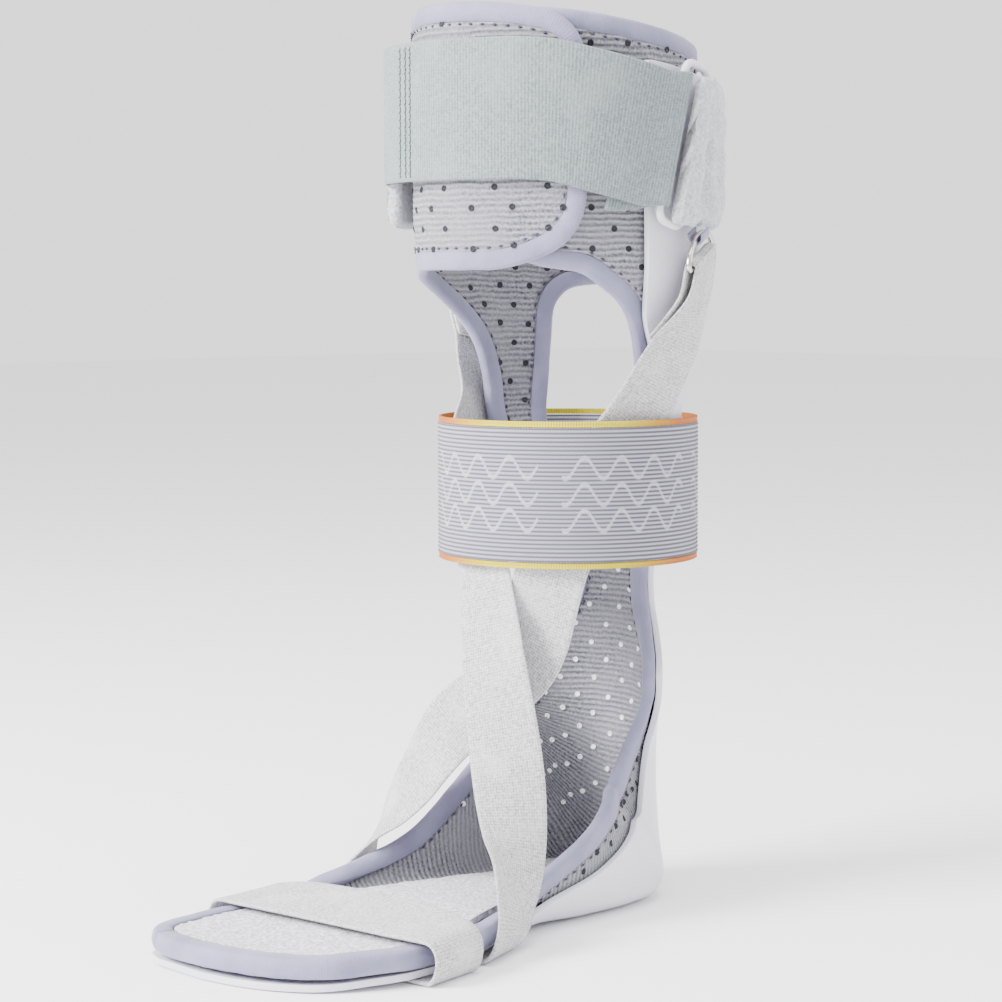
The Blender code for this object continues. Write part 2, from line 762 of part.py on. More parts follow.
def sole_share(place):
    """How far a point of the edge belongs to the sole, where the tape also covers the insole."""
    ahead = (-place.y / FORE_LENGTH - 0.28) / 0.25
    low = (BRACE_HEIGHT * 0.16 - place.z) / (BRACE_HEIGHT * 0.05)
    return min(max(min(ahead, low), 0.0), 1.0)


def binding_sections(loop):
    """A rounded tape section on each frame of an edge loop, standing just clear of the edge."""
    half_width = BINDING_WIDTH / 2
    profile = ((-1.0, -0.95), (0.30, -0.95), (1.0, -0.35), (1.0, 0.35), (0.30, 0.95), (-1.0, 0.95))
    sections = []
    last_rail = loop[-1][0]
    for place, outward, normal in loop:
        rail = place + outward * BINDING_WIDTH
        if (rail - last_rail).length < BINDING_LEAST_STEP:
            continue
        last_rail = rail
        share = sole_share(place)
        thickness = BINDING_THICKNESS + share * (SOLE_BINDING_THICKNESS - BINDING_THICKNESS)
        wall = LINER_WALL + share * (sole_wall() - LINER_WALL)
        middle_in = wall / 2 + (thickness - wall) / 4
        centre = place - normal * middle_in + outward * (half_width + BINDING_GAP)
        sections.append([
            centre + outward * (across * half_width) + normal * (deep * thickness / 2)
            for across, deep in profile
        ])
    return sections


def build_shell(parts, material):
    mesh = Wrap(0.0, SHELL_WINDOW_SETBACK, False).build()
    bmesh.ops.recalc_face_normals(mesh, faces=mesh.faces)
    piece = add_object("shell", mesh, material, parts)
    face_outward(piece)
    add_solidify(piece, SHELL_WALL, 1.0 + 2.0 * LINER_GAP / SHELL_WALL)
    return piece


def face_outward(piece):
    """Turn the open surface so that its normals point away from the leg."""
    data = piece.data
    lowest = min(data.polygons, key=lambda face: face.center.z)
    if lowest.normal.z > 0:
        data.flip_normals()


def build_liner(parts, material):
    mesh = Wrap(BINDING_WIDTH + CLEARANCE, BINDING_WIDTH + CLEARANCE, True).build()
    bmesh.ops.recalc_face_normals(mesh, faces=mesh.faces)
    lowest = min(mesh.faces, key=lambda face: face.calc_center_median().z)
    if lowest.normal.z > 0:
        bmesh.ops.reverse_faces(mesh, faces=mesh.faces)
    loops = boundary_loops(mesh)
    piece = add_object("liner", mesh, material, parts)
    add_solidify(piece, LINER_WALL, -1.0)
    return loops


def build_bindings(parts, material, loops):
    for name, loop in zip(("edge_binding", "window_binding"), loops):
        add_object(name, loft(binding_sections(loop), True), material, parts)


def build_insole(parts, material):
    """The terry pad on the liner's sole, from the toe to the heel."""
    mesh = bmesh.new()
    wrap = Wrap(BINDING_WIDTH + 4 * CLEARANCE, 0.0, True)
    grid = []
    for mark in SPINE.marks_up_to(BRACE_HEIGHT / 2):
        station = wrap.station(mark)
        if station.y > INSOLE_HEEL_END * HEEL_BACK:
            break
        near, far = wrap.edges(station)
        side = station.flat - INSOLE_SIDE_GAP
        reaches = (-min(far, side), min(near, side))
        middles = [reach * SOLE_MIDDLE_SHARE for reach in reaches]
        lengths = (reaches[0], middles[0], 0.0, middles[1], reaches[1])
        grid.append([mesh.verts.new(station.at_length(length)) for length in lengths])
    for before, after in zip(grid, grid[1:]):
        for column in range(len(before) - 1):
            mesh.faces.new((before[column], before[column + 1], after[column + 1], after[column]))
    bmesh.ops.recalc_face_normals(mesh, faces=mesh.faces)
    piece = add_object("insole", mesh, material, parts)
    face_outward(piece)
    lift = sole_wall() - INSOLE_WALL
    add_solidify(piece, INSOLE_WALL, -1.0 - 2.0 * lift / INSOLE_WALL)


def ribbon(name, places, sides, width, thickness, material, parts):
    """A flat strap along a path, its width laid along the given directions."""
    rails = []
    for place, side in zip(places, sides):
        half = side * (width / 2)
        rails.append((place - half, place + half))
    strip(name, rails, thickness, material, parts)


def strip(name, rails, thickness, material, parts, closed=False):
    """A strip of cloth between pairs of edge points, given a wall."""
    mesh = bmesh.new()
    rails = [(mesh.verts.new(first), mesh.verts.new(second)) for first, second in rails]
    pairs = list(zip(rails, rails[1:]))
    if closed:
        pairs.append((rails[-1], rails[0]))
    for before, after in pairs:
        mesh.faces.new((before[0], before[1], after[1], after[0]))
    piece = add_object(name, mesh, material, parts)
    add_solidify(piece, thickness, 0.0)


def smooth_path(points, step):
    """Read a smooth curve through the points at about even steps."""
    fine = []
    for index in range(len(points) - 1):
        before = points[max(index - 1, 0)]
        start = points[index]
        end = points[index + 1]
        after = points[min(index + 2, len(points) - 1)]
        for part in range(12):
            t = part / 12
            fine.append(0.5 * (
                2 * start + (end - before) * t
                + (2 * before - 5 * start + 4 * end - after) * t ** 2
                + (3 * start - before - 3 * end + after) * t ** 3
            ))
    fine.append(points[-1])
    total = sum((b - a).length for a, b in zip(fine, fine[1:]))
    count = max(2, round(total / step))
    path = [fine[0]]
    travelled = 0.0
    for before, after in zip(fine, fine[1:]):
        gap = (after - before).length
        while len(path) < count and travelled + gap >= total * len(path) / count - 1e-12:
            part = (total * len(path) / count - travelled) / gap
            path.append(before.lerp(after, part))
        travelled += gap
    path.append(fine[-1])
    return path


def round_leg(height, angle, radius):
    turn = math.radians(angle)
    return Vector((radius * math.sin(turn), LEG_AXIS_Y + radius * math.cos(turn), height))


def cuff_place(angle, height, stand_off):
    """A point off the cuff's wall, at an angle that may run on past the front."""
    return SPINE.at_height(height).at_angle(angle, stand_off)


def facing(angle, dip=0.0):
    turn = math.radians(angle)
    level = math.cos(math.radians(dip))
    return Vector((level * math.sin(turn), level * math.cos(turn), -math.sin(math.radians(dip))))


def strap_path(rows, side):
    """Places and facings of a cross strap's rows, smoothed together."""
    places = []
    faces = []
    for height, angle, radius, face, dip in rows:
        places.append(round_leg(height * BRACE_HEIGHT, side * angle, radius * BAND_RADIUS))
        faces.append(facing(side * face, dip))
    path = smooth_path(places, STRAP_STEP)
    marks = [0.0]
    for before, after in zip(places, places[1:]):
        marks.append(marks[-1] + (after - before).length)
    travelled = 0.0
    normals = []
    for index, place in enumerate(path):
        if index:
            travelled += (place - path[index - 1]).length
        mark = travelled * marks[-1] / sum((b - a).length for a, b in zip(path, path[1:]))
        row = 0
        while row < len(marks) - 2 and marks[row + 1] < mark:
            row += 1
        part = min(max((mark - marks[row]) / (marks[row + 1] - marks[row]), 0.0), 1.0)
        normals.append(faces[row].lerp(faces[row + 1], part).normalized())
        if index == len(path) - 1:
            normals[-1] = faces[-1]
    return path, normals


def ring_frame(side):
    """The D-ring's bar centre, the bar's direction, the way up in its plane and the way out."""
    centre = cuff_place(side * D_RING_ANGLE, D_RING_BAR_HEIGHT, D_RING_STAND_OFF)
    outward = facing(side * D_RING_FACE)
    level = Vector((outward.y, -outward.x, 0.0)) * side
    tilt = math.radians(D_RING_TILT)
    along = level * math.cos(tilt) - Vector((0.0, 0.0, math.sin(tilt)))
    up = level * math.sin(tilt) + Vector((0.0, 0.0, math.cos(tilt)))
    return centre, along, up, outward


def strap_fold(side):
    """The turn of a cross strap round its D-ring's bar, from the inner to the outer layer."""
    centre, _, up, outward = ring_frame(side)
    radius = D_RING_WIRE / 2 + CLEARANCE + STRAP_THICKNESS / 2
    places = []
    normals = []
    for step in range(FOLD_STEPS + 1):
        turn = math.pi * step / FOLD_STEPS
        direction = outward * -math.cos(turn) + up * math.sin(turn)
        places.append(centre + direction * radius)
        normals.append(direction)
    return places, normals


def build_cross_straps(parts, material):
    for name, side, rows in (
        ("cross_strap_near", 1, NEAR_STRAP_ROWS), ("cross_strap_far", -1, FAR_STRAP_ROWS)
    ):
        _, bar, _, _ = ring_frame(side)
        fold_places, fold_normals = strap_fold(side)
        outer, outer_normals = joined_path(rows, side, fold_places[-1])
        widths = width_directions(outer, outer_normals, bar)
        apart = (fold_places[-1] - fold_places[0]).length
        inner = []
        for index, share in enumerate(STRAP_RETURN_GAPS, start=1):
            inner.insert(0, outer[index] - outer_normals[index] * (apart * share))
        count = len(inner)
        places = inner + fold_places + outer[1:]
        sides = widths[count:0:-1] + [widths[0]] * len(fold_places) + widths[1:]
        ribbon(name, places, sides, STRAP_WIDTH, STRAP_THICKNESS, material, parts)


def width_directions(path, normals, bar):
    """The strap's width along its path: along the ring's bar at first, level near the floor."""
    directions = []
    for index, place in enumerate(path):
        along = path[min(index + 1, len(path) - 1)] - path[max(index - 1, 0)]
        natural = along.cross(normals[index]).normalized()
        if natural.dot(bar) < 0 and index == 0:
            bar = -bar
        natural = bar.lerp(natural, min(index / WIDTH_BLEND_STEPS, 1.0))
        natural.z *= min(place.z / LEVEL_HEIGHT, 1.0)
        directions.append(natural.normalized())
    return directions


def joined_path(rows, side, joint):
    """A strap's path down from where it leaves its ring's fold."""
    offset = joint - Vector((0.0, LEG_AXIS_Y, 0.0))
    radius = math.hypot(offset.x, offset.y)
    angle = math.degrees(math.atan2(side * offset.x, offset.y))
    row = (joint.z / BRACE_HEIGHT, angle, radius / BAND_RADIUS, D_RING_FACE, 0.0)
    return strap_path([row] + list(rows), side)


def build_forefoot_strap(parts, material):
    """The closed loop over the insole, round the edges and under the plate."""
    station = SPINE.at_ahead(FOREFOOT_STRAP_AHEAD)
    low = PLATE_ARCH - CLEARANCE - STRAP_THICKNESS / 2
    high = insole_top() + (SOLE_BINDING_THICKNESS - sole_wall()) / 2
    high += FOREFOOT_EDGE_RISE * WING_HEIGHT + CLEARANCE + STRAP_THICKNESS / 2
    rails = []
    count = len(FOREFOOT_LOOP)
    for index in range(count):
        for part in range(2):
            across, level, swell = smooth_row(FOREFOOT_LOOP, index, part / 2)
            x = across * station.half_width
            y = station.y + FOREFOOT_STRAP_SLOPE * x
            front = Vector((station.shift + x, y, low + level * (high - low)))
            width = Vector((-SOLE_FLARE * max(across, 0.0), 1.0, 0.0)).normalized() * STRAP_WIDTH
            rise = Vector((0.0, 0.0, swell * FOREFOOT_STRAP_SWELL))
            rails.append((front - width / 2, front + width / 2 + rise))
    strip("forefoot_strap", rails, STRAP_THICKNESS, material, parts, closed=True)


def smooth_row(rows, index, t):
    """A smooth value between a row of a closed table and the next."""
    before = rows[index - 1]
    start = rows[index]
    end = rows[(index + 1) % len(rows)]
    after = rows[(index + 2) % len(rows)]
    return [
        0.5 * (2 * q + (r - p) * t + (2 * p - 5 * q + 4 * r - w) * t ** 2
               + (3 * q - p - 3 * r + w) * t ** 3)
        for p, q, r, w in zip(before, start, end, after)
    ]


def sole_wall():
    return LINER_WALL + 2 * CLEARANCE + INSOLE_WALL


def insole_top():
    return SEAT_Z + PLATE_ARCH + sole_wall()


def turned_ring(name, inner, outer, low, high, material, parts):
    """A band round the leg axis, turned from its wall's section."""
    mesh = bmesh.new()
    corners = ((inner, high), (outer, high), (outer, low), (inner, low))
    verts = [mesh.verts.new((radius, 0.0, height)) for radius, height in corners]
    for index in range(len(verts)):
        mesh.edges.new((verts[index - 1], verts[index]))
    piece = add_object(name, mesh, material, parts)
    piece.location = (0.0, LEG_AXIS_Y, 0.0)
    screw = piece.modifiers.new("Turn", "SCREW")
    screw.steps = BAND_STEPS
    screw.render_steps = BAND_STEPS
    screw.use_merge_vertices = True
    screw.merge_threshold = 0.00001
    return piece


def build_band(parts, knit, yellow):
    inner = BAND_RADIUS - BAND_WALL
    low = BAND_LOW + TRIM_HEIGHT + CLEARANCE
    high = BAND_LOW + BAND_HEIGHT - TRIM_HEIGHT - CLEARANCE
    turned_ring("ankle_band", inner, BAND_RADIUS, low, high, knit, parts)
    trim_inner = inner + CLEARANCE
    trim_outer = BAND_RADIUS - CLEARANCE
    top = BAND_LOW + BAND_HEIGHT
    turned_ring("band_trim_lower", trim_inner, trim_outer, BAND_LOW, low - CLEARANCE, yellow, parts)
    turned_ring("band_trim_upper", trim_inner, trim_outer, high + CLEARANCE, top, yellow, parts)


def add_wire(name, points, wire, material, parts, cyclic):
    """A round wire along a poly curve."""
    curve = bpy.data.curves.new(name, "CURVE")
    curve.dimensions = "3D"
    curve.bevel_depth = wire / 2
    curve.bevel_resolution = 1
    curve.use_fill_caps = True
    spline = curve.splines.new("POLY")
    spline.points.add(len(points) - 1)
    for point, place in zip(spline.points, points):
        point.co = (*place, 1.0)
    spline.use_cyclic_u = cyclic
    curve.materials.append(material)
    piece = bpy.data.objects.new(name, curve)
    parts.objects.link(piece)
    return piece


def build_d_rings(parts, metal, tape):
    for name, side in (("near", 1), ("far", -1)):
        centre, along, up, outward = ring_frame(side)
        half = D_RING_WIDTH / 2
        points = [centre + along * (half * share) for share in (-0.96, -0.32, 0.32, 0.96)]
        for step in range(1, D_RING_ARC_STEPS):
            turn = math.pi * step / D_RING_ARC_STEPS
            reach = half * math.cos(turn)
            points.append(centre + along * reach + up * (D_RING_HEIGHT * math.sin(turn)))
        add_wire(f"d_ring_{name}", points, D_RING_WIRE, metal, parts, True)

        top = centre + up * D_RING_HEIGHT
        radius = D_RING_WIRE / 2 + 3 * CLEARANCE + TAB_THICKNESS / 2
        rise = PAD_HEIGHT - PAD_WIDTH / 2 - CLEARANCE - TAB_WIDTH / 2 * abs(along.z) - top.z
        seat = top + up * (rise / up.z)
        places = [seat - outward * radius]
        for step in range(FOLD_STEPS + 1):
            turn = math.pi * step / FOLD_STEPS
            direction = outward * -math.cos(turn) - up * math.sin(turn)
            places.append(top + direction * radius)
        places.append(seat + outward * radius)
        ribbon(f"ring_tab_{name}", places, [along] * len(places), TAB_WIDTH, TAB_THICKNESS, tape, parts)


def pad_stand_off():
    return LINER_GAP + SHELL_WALL + 4 * CLEARANCE + PAD_THICKNESS / 2


def slot_bar_stand_off():
    """How far the slot ring's wire stands off the liner's wall."""
    return LINER_GAP + SHELL_WALL + 5 * CLEARANCE + CALF_STRAP_THICKNESS + SLOT_RING_WIRE / 2


def leaning(angle, share):
    """The way up on the cuff at an angle, leaning by a share of the slot ring's tilt."""
    outward = facing(angle)
    level = Vector((outward.y, -outward.x, 0.0))
    tilt = math.radians(SLOT_RING_TILT * share)
    return Vector((0.0, 0.0, math.cos(tilt))) - level * math.sin(tilt)


def slot_ring_frame():
    """The slot ring's centre, its direction across, its way up and the way out."""
    centre = cuff_place(SLOT_RING_ANGLE, SLOT_RING_CENTRE, slot_bar_stand_off())
    outward = facing(SLOT_RING_ANGLE)
    up = leaning(SLOT_RING_ANGLE, 1.0)
    return centre, outward.cross(up), up, outward


def slot_bar_angle(share):
    """The cuff angle of a point across the slot ring, from its back bar (-1) to its front bar."""
    reach = CUFF_WIDTH / 2 + slot_bar_stand_off()
    return SLOT_RING_ANGLE + math.degrees(share * SLOT_RING_WIDTH / 2 / reach)


def build_slot_ring(parts, material):
    """A rounded rectangle of plastic wire, tilted in the plane that touches the cuff."""
    centre, across, up, _ = slot_ring_frame()
    half_width = SLOT_RING_WIDTH / 2
    half_height = SLOT_RING_HEIGHT / 2 - SLOT_RING_WIRE / 2
    corner = half_width * 0.6
    points = []
    for x_sign, y_sign, start in ((1, 1, 0), (-1, 1, 90), (-1, -1, 180), (1, -1, 270)):
        for step in range(4):
            turn = math.radians(start + 30 * step)
            x = x_sign * (half_width - corner) + corner * math.cos(turn)
            y = y_sign * (half_height - corner) + corner * math.sin(turn)
            points.append(centre + across * x + up * y)
    add_wire("slot_ring", points, SLOT_RING_WIRE, material, parts, True)


def build_calf_strap(parts, material):
    """The elastic strap: a short return layer, the turn round the slot ring, and the long front."""
    ring, across, up, outward = slot_ring_frame()
    bar = slot_bar_angle(1.0)
    radius = SLOT_RING_WIRE / 2 + CLEARANCE + CALF_STRAP_THICKNESS / 2
    centre = ring + across * (SLOT_RING_WIDTH / 2)
    places = []
    sides = []
    for step in range(FOLD_STEPS + 1):
        turn = math.pi * step / FOLD_STEPS
        places.append(centre - outward * (radius * math.cos(turn)) - across * (radius * math.sin(turn)))
        sides.append(up)
    for reach in CALF_RETURN_REACHES:
        angle = bar + math.degrees(reach * CALF_RETURN / (CUFF_WIDTH / 2))
        places.insert(0, cuff_place(angle, SLOT_RING_CENTRE, slot_bar_stand_off() - radius))
        sides.insert(0, leaning(angle, 1.0))
    for angle, share in CALF_STRAP_ROWS:
        part = min(max((angle - bar) / CALF_RISE_ANGLE, 0.0), 1.0)
        lift = CALF_STRAP_RISE * part
        places.append(cuff_place(angle, SLOT_RING_CENTRE + lift, share * CALF_STAND_OFF))
        sides.append(leaning(angle, 1.0 - part))
    ribbon("calf_strap", places, sides, CALF_STRAP_WIDTH, CALF_STRAP_THICKNESS, material, parts)


def build_pad_strap(parts, material):
    """The puffy strap from the slot ring round the back of the cuff."""
    stand_off = pad_stand_off()
    bar = slot_bar_angle(-1.0)
    start = bar - math.degrees((SLOT_RING_WIRE + CLEARANCE) / (CUFF_WIDTH / 2 + stand_off))
    places = []
    sides = []
    for step in range(PAD_STEPS + 1):
        angle = start - (start + PAD_FAR_END) * step / PAD_STEPS
        part = min((start - angle) / PAD_LEVEL_ANGLE, 1.0)
        places.append(cuff_place(angle, PAD_HEIGHT, stand_off))
        sides.append(leaning(angle, 1.0 - part))
    ribbon("pad_strap", places, sides, PAD_WIDTH, PAD_THICKNESS, material, parts)


def main():
    clear_scene()
    parts = make_collection("foot_drop_brace")
    plastic = make_material("plastic", (0.80, 0.80, 0.84), 0.35)
    textile = make_material("textile", (0.55, 0.56, 0.58), 0.9)
    tape = make_material("tape", (0.52, 0.52, 0.62), 0.8)
    terry = make_material("terry", (0.78, 0.78, 0.79), 0.95)
    elastic = make_material("elastic", (0.70, 0.70, 0.70), 0.9)
    pale_elastic = make_material("pale_elastic", (0.62, 0.68, 0.66), 0.85)
    fleece = make_material("fleece", (0.68, 0.68, 0.73), 1.0)
    knit = make_material("knit", (0.50, 0.49, 0.52), 0.9)
    yellow = make_material("yellow_trim", (0.95, 0.80, 0.05), 0.8)
    metal = make_material("metal", (0.55, 0.50, 0.45), 0.3, 1.0)
    build_shell(parts, plastic)
    loops = build_liner(parts, textile)
    build_bindings(parts, tape, loops)
    build_insole(parts, terry)
    build_cross_straps(parts, elastic)
    build_forefoot_strap(parts, elastic)
    build_band(parts, knit, yellow)
    build_d_rings(parts, metal, tape)
    build_slot_ring(parts, plastic)
    build_calf_strap(parts, pale_elastic)
    build_pad_strap(parts, fleece)


main()
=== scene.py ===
"""The look of the foot drop brace: fine surfaces, cloth, stitching and light round the fixed frame.

Metres, in the frame's own axes: +Z up, the toes along -Y, the origin under the heel. The sizes and
the tables of sections repeat those of the solids, so that each fine piece lies where its solid is.
"""

import math

import bmesh
import bpy
import numpy as np
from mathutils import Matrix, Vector, noise


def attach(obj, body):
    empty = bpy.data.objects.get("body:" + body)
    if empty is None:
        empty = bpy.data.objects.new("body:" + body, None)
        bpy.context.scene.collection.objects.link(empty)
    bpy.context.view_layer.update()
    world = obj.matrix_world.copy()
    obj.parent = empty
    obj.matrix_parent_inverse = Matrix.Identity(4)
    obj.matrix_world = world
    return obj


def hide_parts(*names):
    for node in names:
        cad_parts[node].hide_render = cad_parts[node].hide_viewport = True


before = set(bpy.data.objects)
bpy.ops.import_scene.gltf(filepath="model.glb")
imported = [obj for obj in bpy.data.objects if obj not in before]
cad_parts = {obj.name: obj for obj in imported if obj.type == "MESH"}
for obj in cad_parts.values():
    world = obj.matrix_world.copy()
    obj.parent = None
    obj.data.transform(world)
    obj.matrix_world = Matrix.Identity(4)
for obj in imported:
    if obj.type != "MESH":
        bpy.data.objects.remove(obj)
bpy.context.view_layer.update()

# Overall sizes
BRACE_HEIGHT = 0.357
FORE_LENGTH = 0.197
HEEL_BACK = 0.0225
BALL_WIDTH = 0.108
WING_HEIGHT = 0.068
PLATE_ARCH = 0.0017
TOE_LIFT = 0.0009
LEG_AXIS_Y = -0.011
CUFF_WIDTH = 0.110
CUFF_DEPTH = 0.112

# Walls and clearances
SHELL_WALL = 0.0025
LINER_WALL = 0.0040
INSOLE_WALL = 0.0025
LINER_GAP = 0.0013
CLEARANCE = 0.0003

# Edge tape
BINDING_WIDTH = 0.0070
BINDING_THICKNESS = 0.0050
SOLE_BINDING_THICKNESS = 0.0078

# The window through the back and the two front flaps
WINDOW_LOW = 0.172
WINDOW_HIGH = 0.251
WINDOW_HALF_ARC = 0.0455
WINDOW_CORNER_LOW = 0.036
WINDOW_CORNER_HIGH = 0.020
WINDOW_SILL_SHARE = 0.28
WINDOW_HEAD_SHARE = 0.60
FLAP_LOW = 0.256
FLAP_FILLET = 0.010
FAR_FLAP_END = 238.0
NEAR_FLAP_END = 165.0
FLAP_CORNER_LOW = 0.022
FLAP_CORNER_HIGH = 0.011
LAP_START = 140.0
LAP_END = 188.0
RIM_DROP = 0.016
SHELL_CUFF_ANGLE = 98.0
SHELL_RIM_SETBACK = 0.014
SHELL_WINDOW_SETBACK = 0.003

# Ankle band
BAND_RADIUS = 0.0527
BAND_WALL = 0.0020
BAND_LOW = 0.141
BAND_HEIGHT = 0.057
TRIM_HEIGHT = 0.0022

# Cross straps and forefoot strap
STRAP_WIDTH = 0.028
STRAP_THICKNESS = 0.0011

# Calf strap, its ring and the padded strap
CALF_STRAP_WIDTH = 0.053
CALF_STRAP_THICKNESS = 0.0015
PAD_THICKNESS = 0.0050
PAD_WIDTH = 0.058
PAD_HEIGHT = 0.302
PAD_FAR_END = 130.0
SLOT_RING_HEIGHT = 0.066
SLOT_RING_CENTRE = 0.304
SLOT_RING_WIDTH = 0.014
SLOT_RING_WIRE = 0.0032
SLOT_RING_ANGLE = 84.5
SLOT_RING_TILT = 16.0

# D-rings and the tabs that hold them
D_RING_WIRE = 0.0024
D_RING_WIDTH = 0.033
D_RING_HEIGHT = 0.0095
D_RING_ANGLE = 77.0
D_RING_FACE = 63.0
D_RING_TILT = 17.0
D_RING_STAND_OFF = 0.0106
D_RING_BAR_HEIGHT = 0.2605
TAB_WIDTH = 0.010
TAB_THICKNESS = 0.0010

SEAT_Z = SHELL_WALL + LINER_GAP
PIVOT_AHEAD = 0.035
PIVOT_RISE = 0.078

# Foot rows, toe to heel: share of FORE_LENGTH ahead of the heel, arch (PLATE_ARCH), the liner's lift
# off the plate (TOE_LIFT), shift to the near side and half width (BALL_WIDTH / 2), flat share of
# it, wall depth (WING_HEIGHT), squareness, near and far edge heights and the shell's setback from
# the near edge (WING_HEIGHT)
FOOT_ROWS = (
    (1.000, 0.15, 1.00, -0.270, 0.330, 0.70, 0.15, 2.0, 0.012, 0.012, 0.03),
    (0.984, 0.15, 1.00, -0.200, 0.560, 0.80, 0.15, 2.0, 0.012, 0.012, 0.03),
    (0.953, 0.15, 1.00, -0.090, 0.755, 0.82, 0.15, 2.0, 0.012, 0.012, 0.03),
    (0.896, 0.30, 0.95, 0.040, 0.910, 0.84, 0.15, 2.0, 0.012, 0.012, 0.03),
    (0.819, 0.90, 0.70, 0.130, 0.985, 0.84, 0.15, 2.0, 0.014, 0.014, 0.03),
    (0.730, 1.00, 0.30, 0.170, 1.015, 0.84, 0.15, 2.0, 0.018, 0.020, 0.03),
    (0.600, 1.00, 0.00, 0.135, 0.980, 0.82, 0.20, 2.2, 0.040, 0.080, 0.04),
    (0.456, 1.00, 0.00, 0.055, 0.850, 0.74, 0.32, 2.6, 0.110, 0.200, 0.08),
    (0.300, 0.80, 0.00, 0.000, 0.725, 0.64, 0.52, 3.0, 0.260, 0.370, 0.14),
    (0.170, 0.00, 0.00, 0.000, 0.685, 0.62, 0.78, 4.0, 0.450, 0.690, 0.22),
)

# Heel rows, on planes through the ankle pivot: share of HEEL_BACK behind the heel's middle, rise
# (WING_HEIGHT), then the foot rows' columns from the half width on
HEEL_ROWS = (
    (-0.55, 0.000, 0.655, 0.68, 0.90, 4.6, 0.590, 0.820, 0.25),
    (0.110, 0.000, 0.615, 0.68, 1.04, 4.8, 0.710, 0.960, 0.26),
    (0.600, 0.004, 0.545, 0.62, 1.14, 4.8, 0.790, 1.034, 0.26),
    (0.900, 0.030, 0.490, 0.50, 1.16, 4.0, 0.790, 1.056, 0.26),
    (1.010, 0.150, 0.490, 0.32, 1.10, 2.9, 0.720, 0.997, 0.25),
    (1.020, 0.430, 0.515, 0.20, 0.94, 2.4, 0.570, 0.838, 0.20),
    (1.040, 0.735, 0.560, 0.12, 0.76, 2.1, 0.410, 0.674, 0.12),
)

# Leg rows: height (BRACE_HEIGHT), distance of the back behind the leg axis (CUFF_DEPTH / 2), half
# width (CUFF_WIDTH / 2), depth (CUFF_DEPTH / 2), near and far edge angles, and the shell's setback
# from the near edge (WING_HEIGHT)
LEG_ROWS = (
    (0.227, 0.625, 0.590, 0.580, 58.0, 82.0, 0.06),
    (0.262, 0.620, 0.595, 0.520, 62.0, 78.0, 0.03),
    (0.296, 0.605, 0.605, 0.560, 44.0, 62.0, 0.03),
    (0.338, 0.595, 0.655, 0.640, 28.0, 42.0, 0.03),
    (0.392, 0.590, 0.700, 0.690, 28.0, 36.0, 0.03),
    (0.432, 0.610, 0.740, 0.730, 45.0, 47.0, 0.04),
    (0.474, 0.680, 0.770, 0.760, 70.0, 71.0, 0.05),
    (0.516, 0.740, 0.790, 0.775, 86.0, 88.0, 0.08),
    (0.560, 0.780, 0.809, 0.795, 92.0, 95.0, 0.10),
    (0.602, 0.810, 0.820, 0.805, 95.0, 99.0, 0.09),
    (0.644, 0.835, 0.845, 0.830, 99.0, 106.0, 0.05),
    (0.678, 0.850, 0.905, 0.885, 104.0, 116.0, 0.05),
    (0.702, 0.865, 0.970, 0.945, 112.0, 128.0, 0.05),
    (0.724, 0.875, 1.020, 0.990, 122.0, 140.0, 0.05),
    (0.800, 0.880, 1.030, 1.010, 130.0, 150.0, 0.05),
    (0.900, 0.885, 1.025, 1.015, 130.0, 150.0, 0.05),
    (1.010, 0.915, 1.025, 1.035, 130.0, 150.0, 0.05),
)

# The insole's heel end (HEEL_BACK) and its gap to the sole's rounded corners
INSOLE_HEEL_END = 0.62
INSOLE_SIDE_GAP = 0.0028

# Cross straps, from the D-ring down: height (BRACE_HEIGHT), angle from the back, distance from the
# leg axis (BAND_RADIUS), the way the strap's face looks, and how far it looks down
NEAR_STRAP_ROWS = (
    (0.700, 81.5, 1.240, 70.0, 0.0),
    (0.650, 84.7, 1.110, 80.0, 0.0),
    (0.600, 91.0, 0.975, 90.0, 0.0),
    (0.560, 97.6, 0.893, 98.0, 0.0),
    (0.504, 115.0, 0.876, 115.0, 0.0),
    (0.448, 129.0, 0.882, 129.0, 0.0),
    (0.402, 140.5, 0.882, 140.0, 0.0),
    (0.350, 147.0, 0.837, 147.0, 0.0),
    (0.294, 157.9, 0.706, 157.0, 0.0),
    (0.252, 180.0, 0.721, 165.0, 0.0),
    (0.207, 204.0, 0.934, 172.0, 0.0),
    (0.140, 211.0, 1.217, 195.0, 0.0),
    (0.086, 217.0, 1.470, 226.0, 0.0),
    (0.050, 218.1, 1.595, 240.0, 0.0),
    (0.018, 218.3, 1.640, 255.0, 20.0),
    (0.0024, 212.5, 1.590, 262.0, 85.0),
    (0.0024, 207.2, 1.540, 268.0, 90.0),
)
FAR_STRAP_ROWS = (
    (0.700, 81.5, 1.240, 70.0, 0.0),
    (0.650, 84.7, 1.110, 80.0, 0.0),
    (0.600, 91.0, 0.975, 90.0, 0.0),
    (0.560, 97.6, 0.893, 98.0, 0.0),
    (0.504, 126.0, 0.876, 126.0, 0.0),
    (0.448, 156.0, 0.882, 156.0, 0.0),
    (0.402, 178.0, 0.882, 180.0, 0.0),
    (0.336, 186.0, 0.915, 190.0, 0.0),
    (0.280, 193.0, 1.003, 203.0, 0.0),
    (0.190, 204.0, 1.206, 225.0, 0.0),
    (0.090, 211.8, 1.510, 262.0, 0.0),
    (0.056, 213.2, 1.700, 280.0, 0.0),
    (0.034, 213.6, 1.790, 287.0, 0.0),
    (0.012, 213.8, 1.900, 289.0, 20.0),
    (0.0024, 210.0, 1.860, 289.0, 85.0),
    (0.0024, 205.0, 1.790, 289.0, 90.0),
)
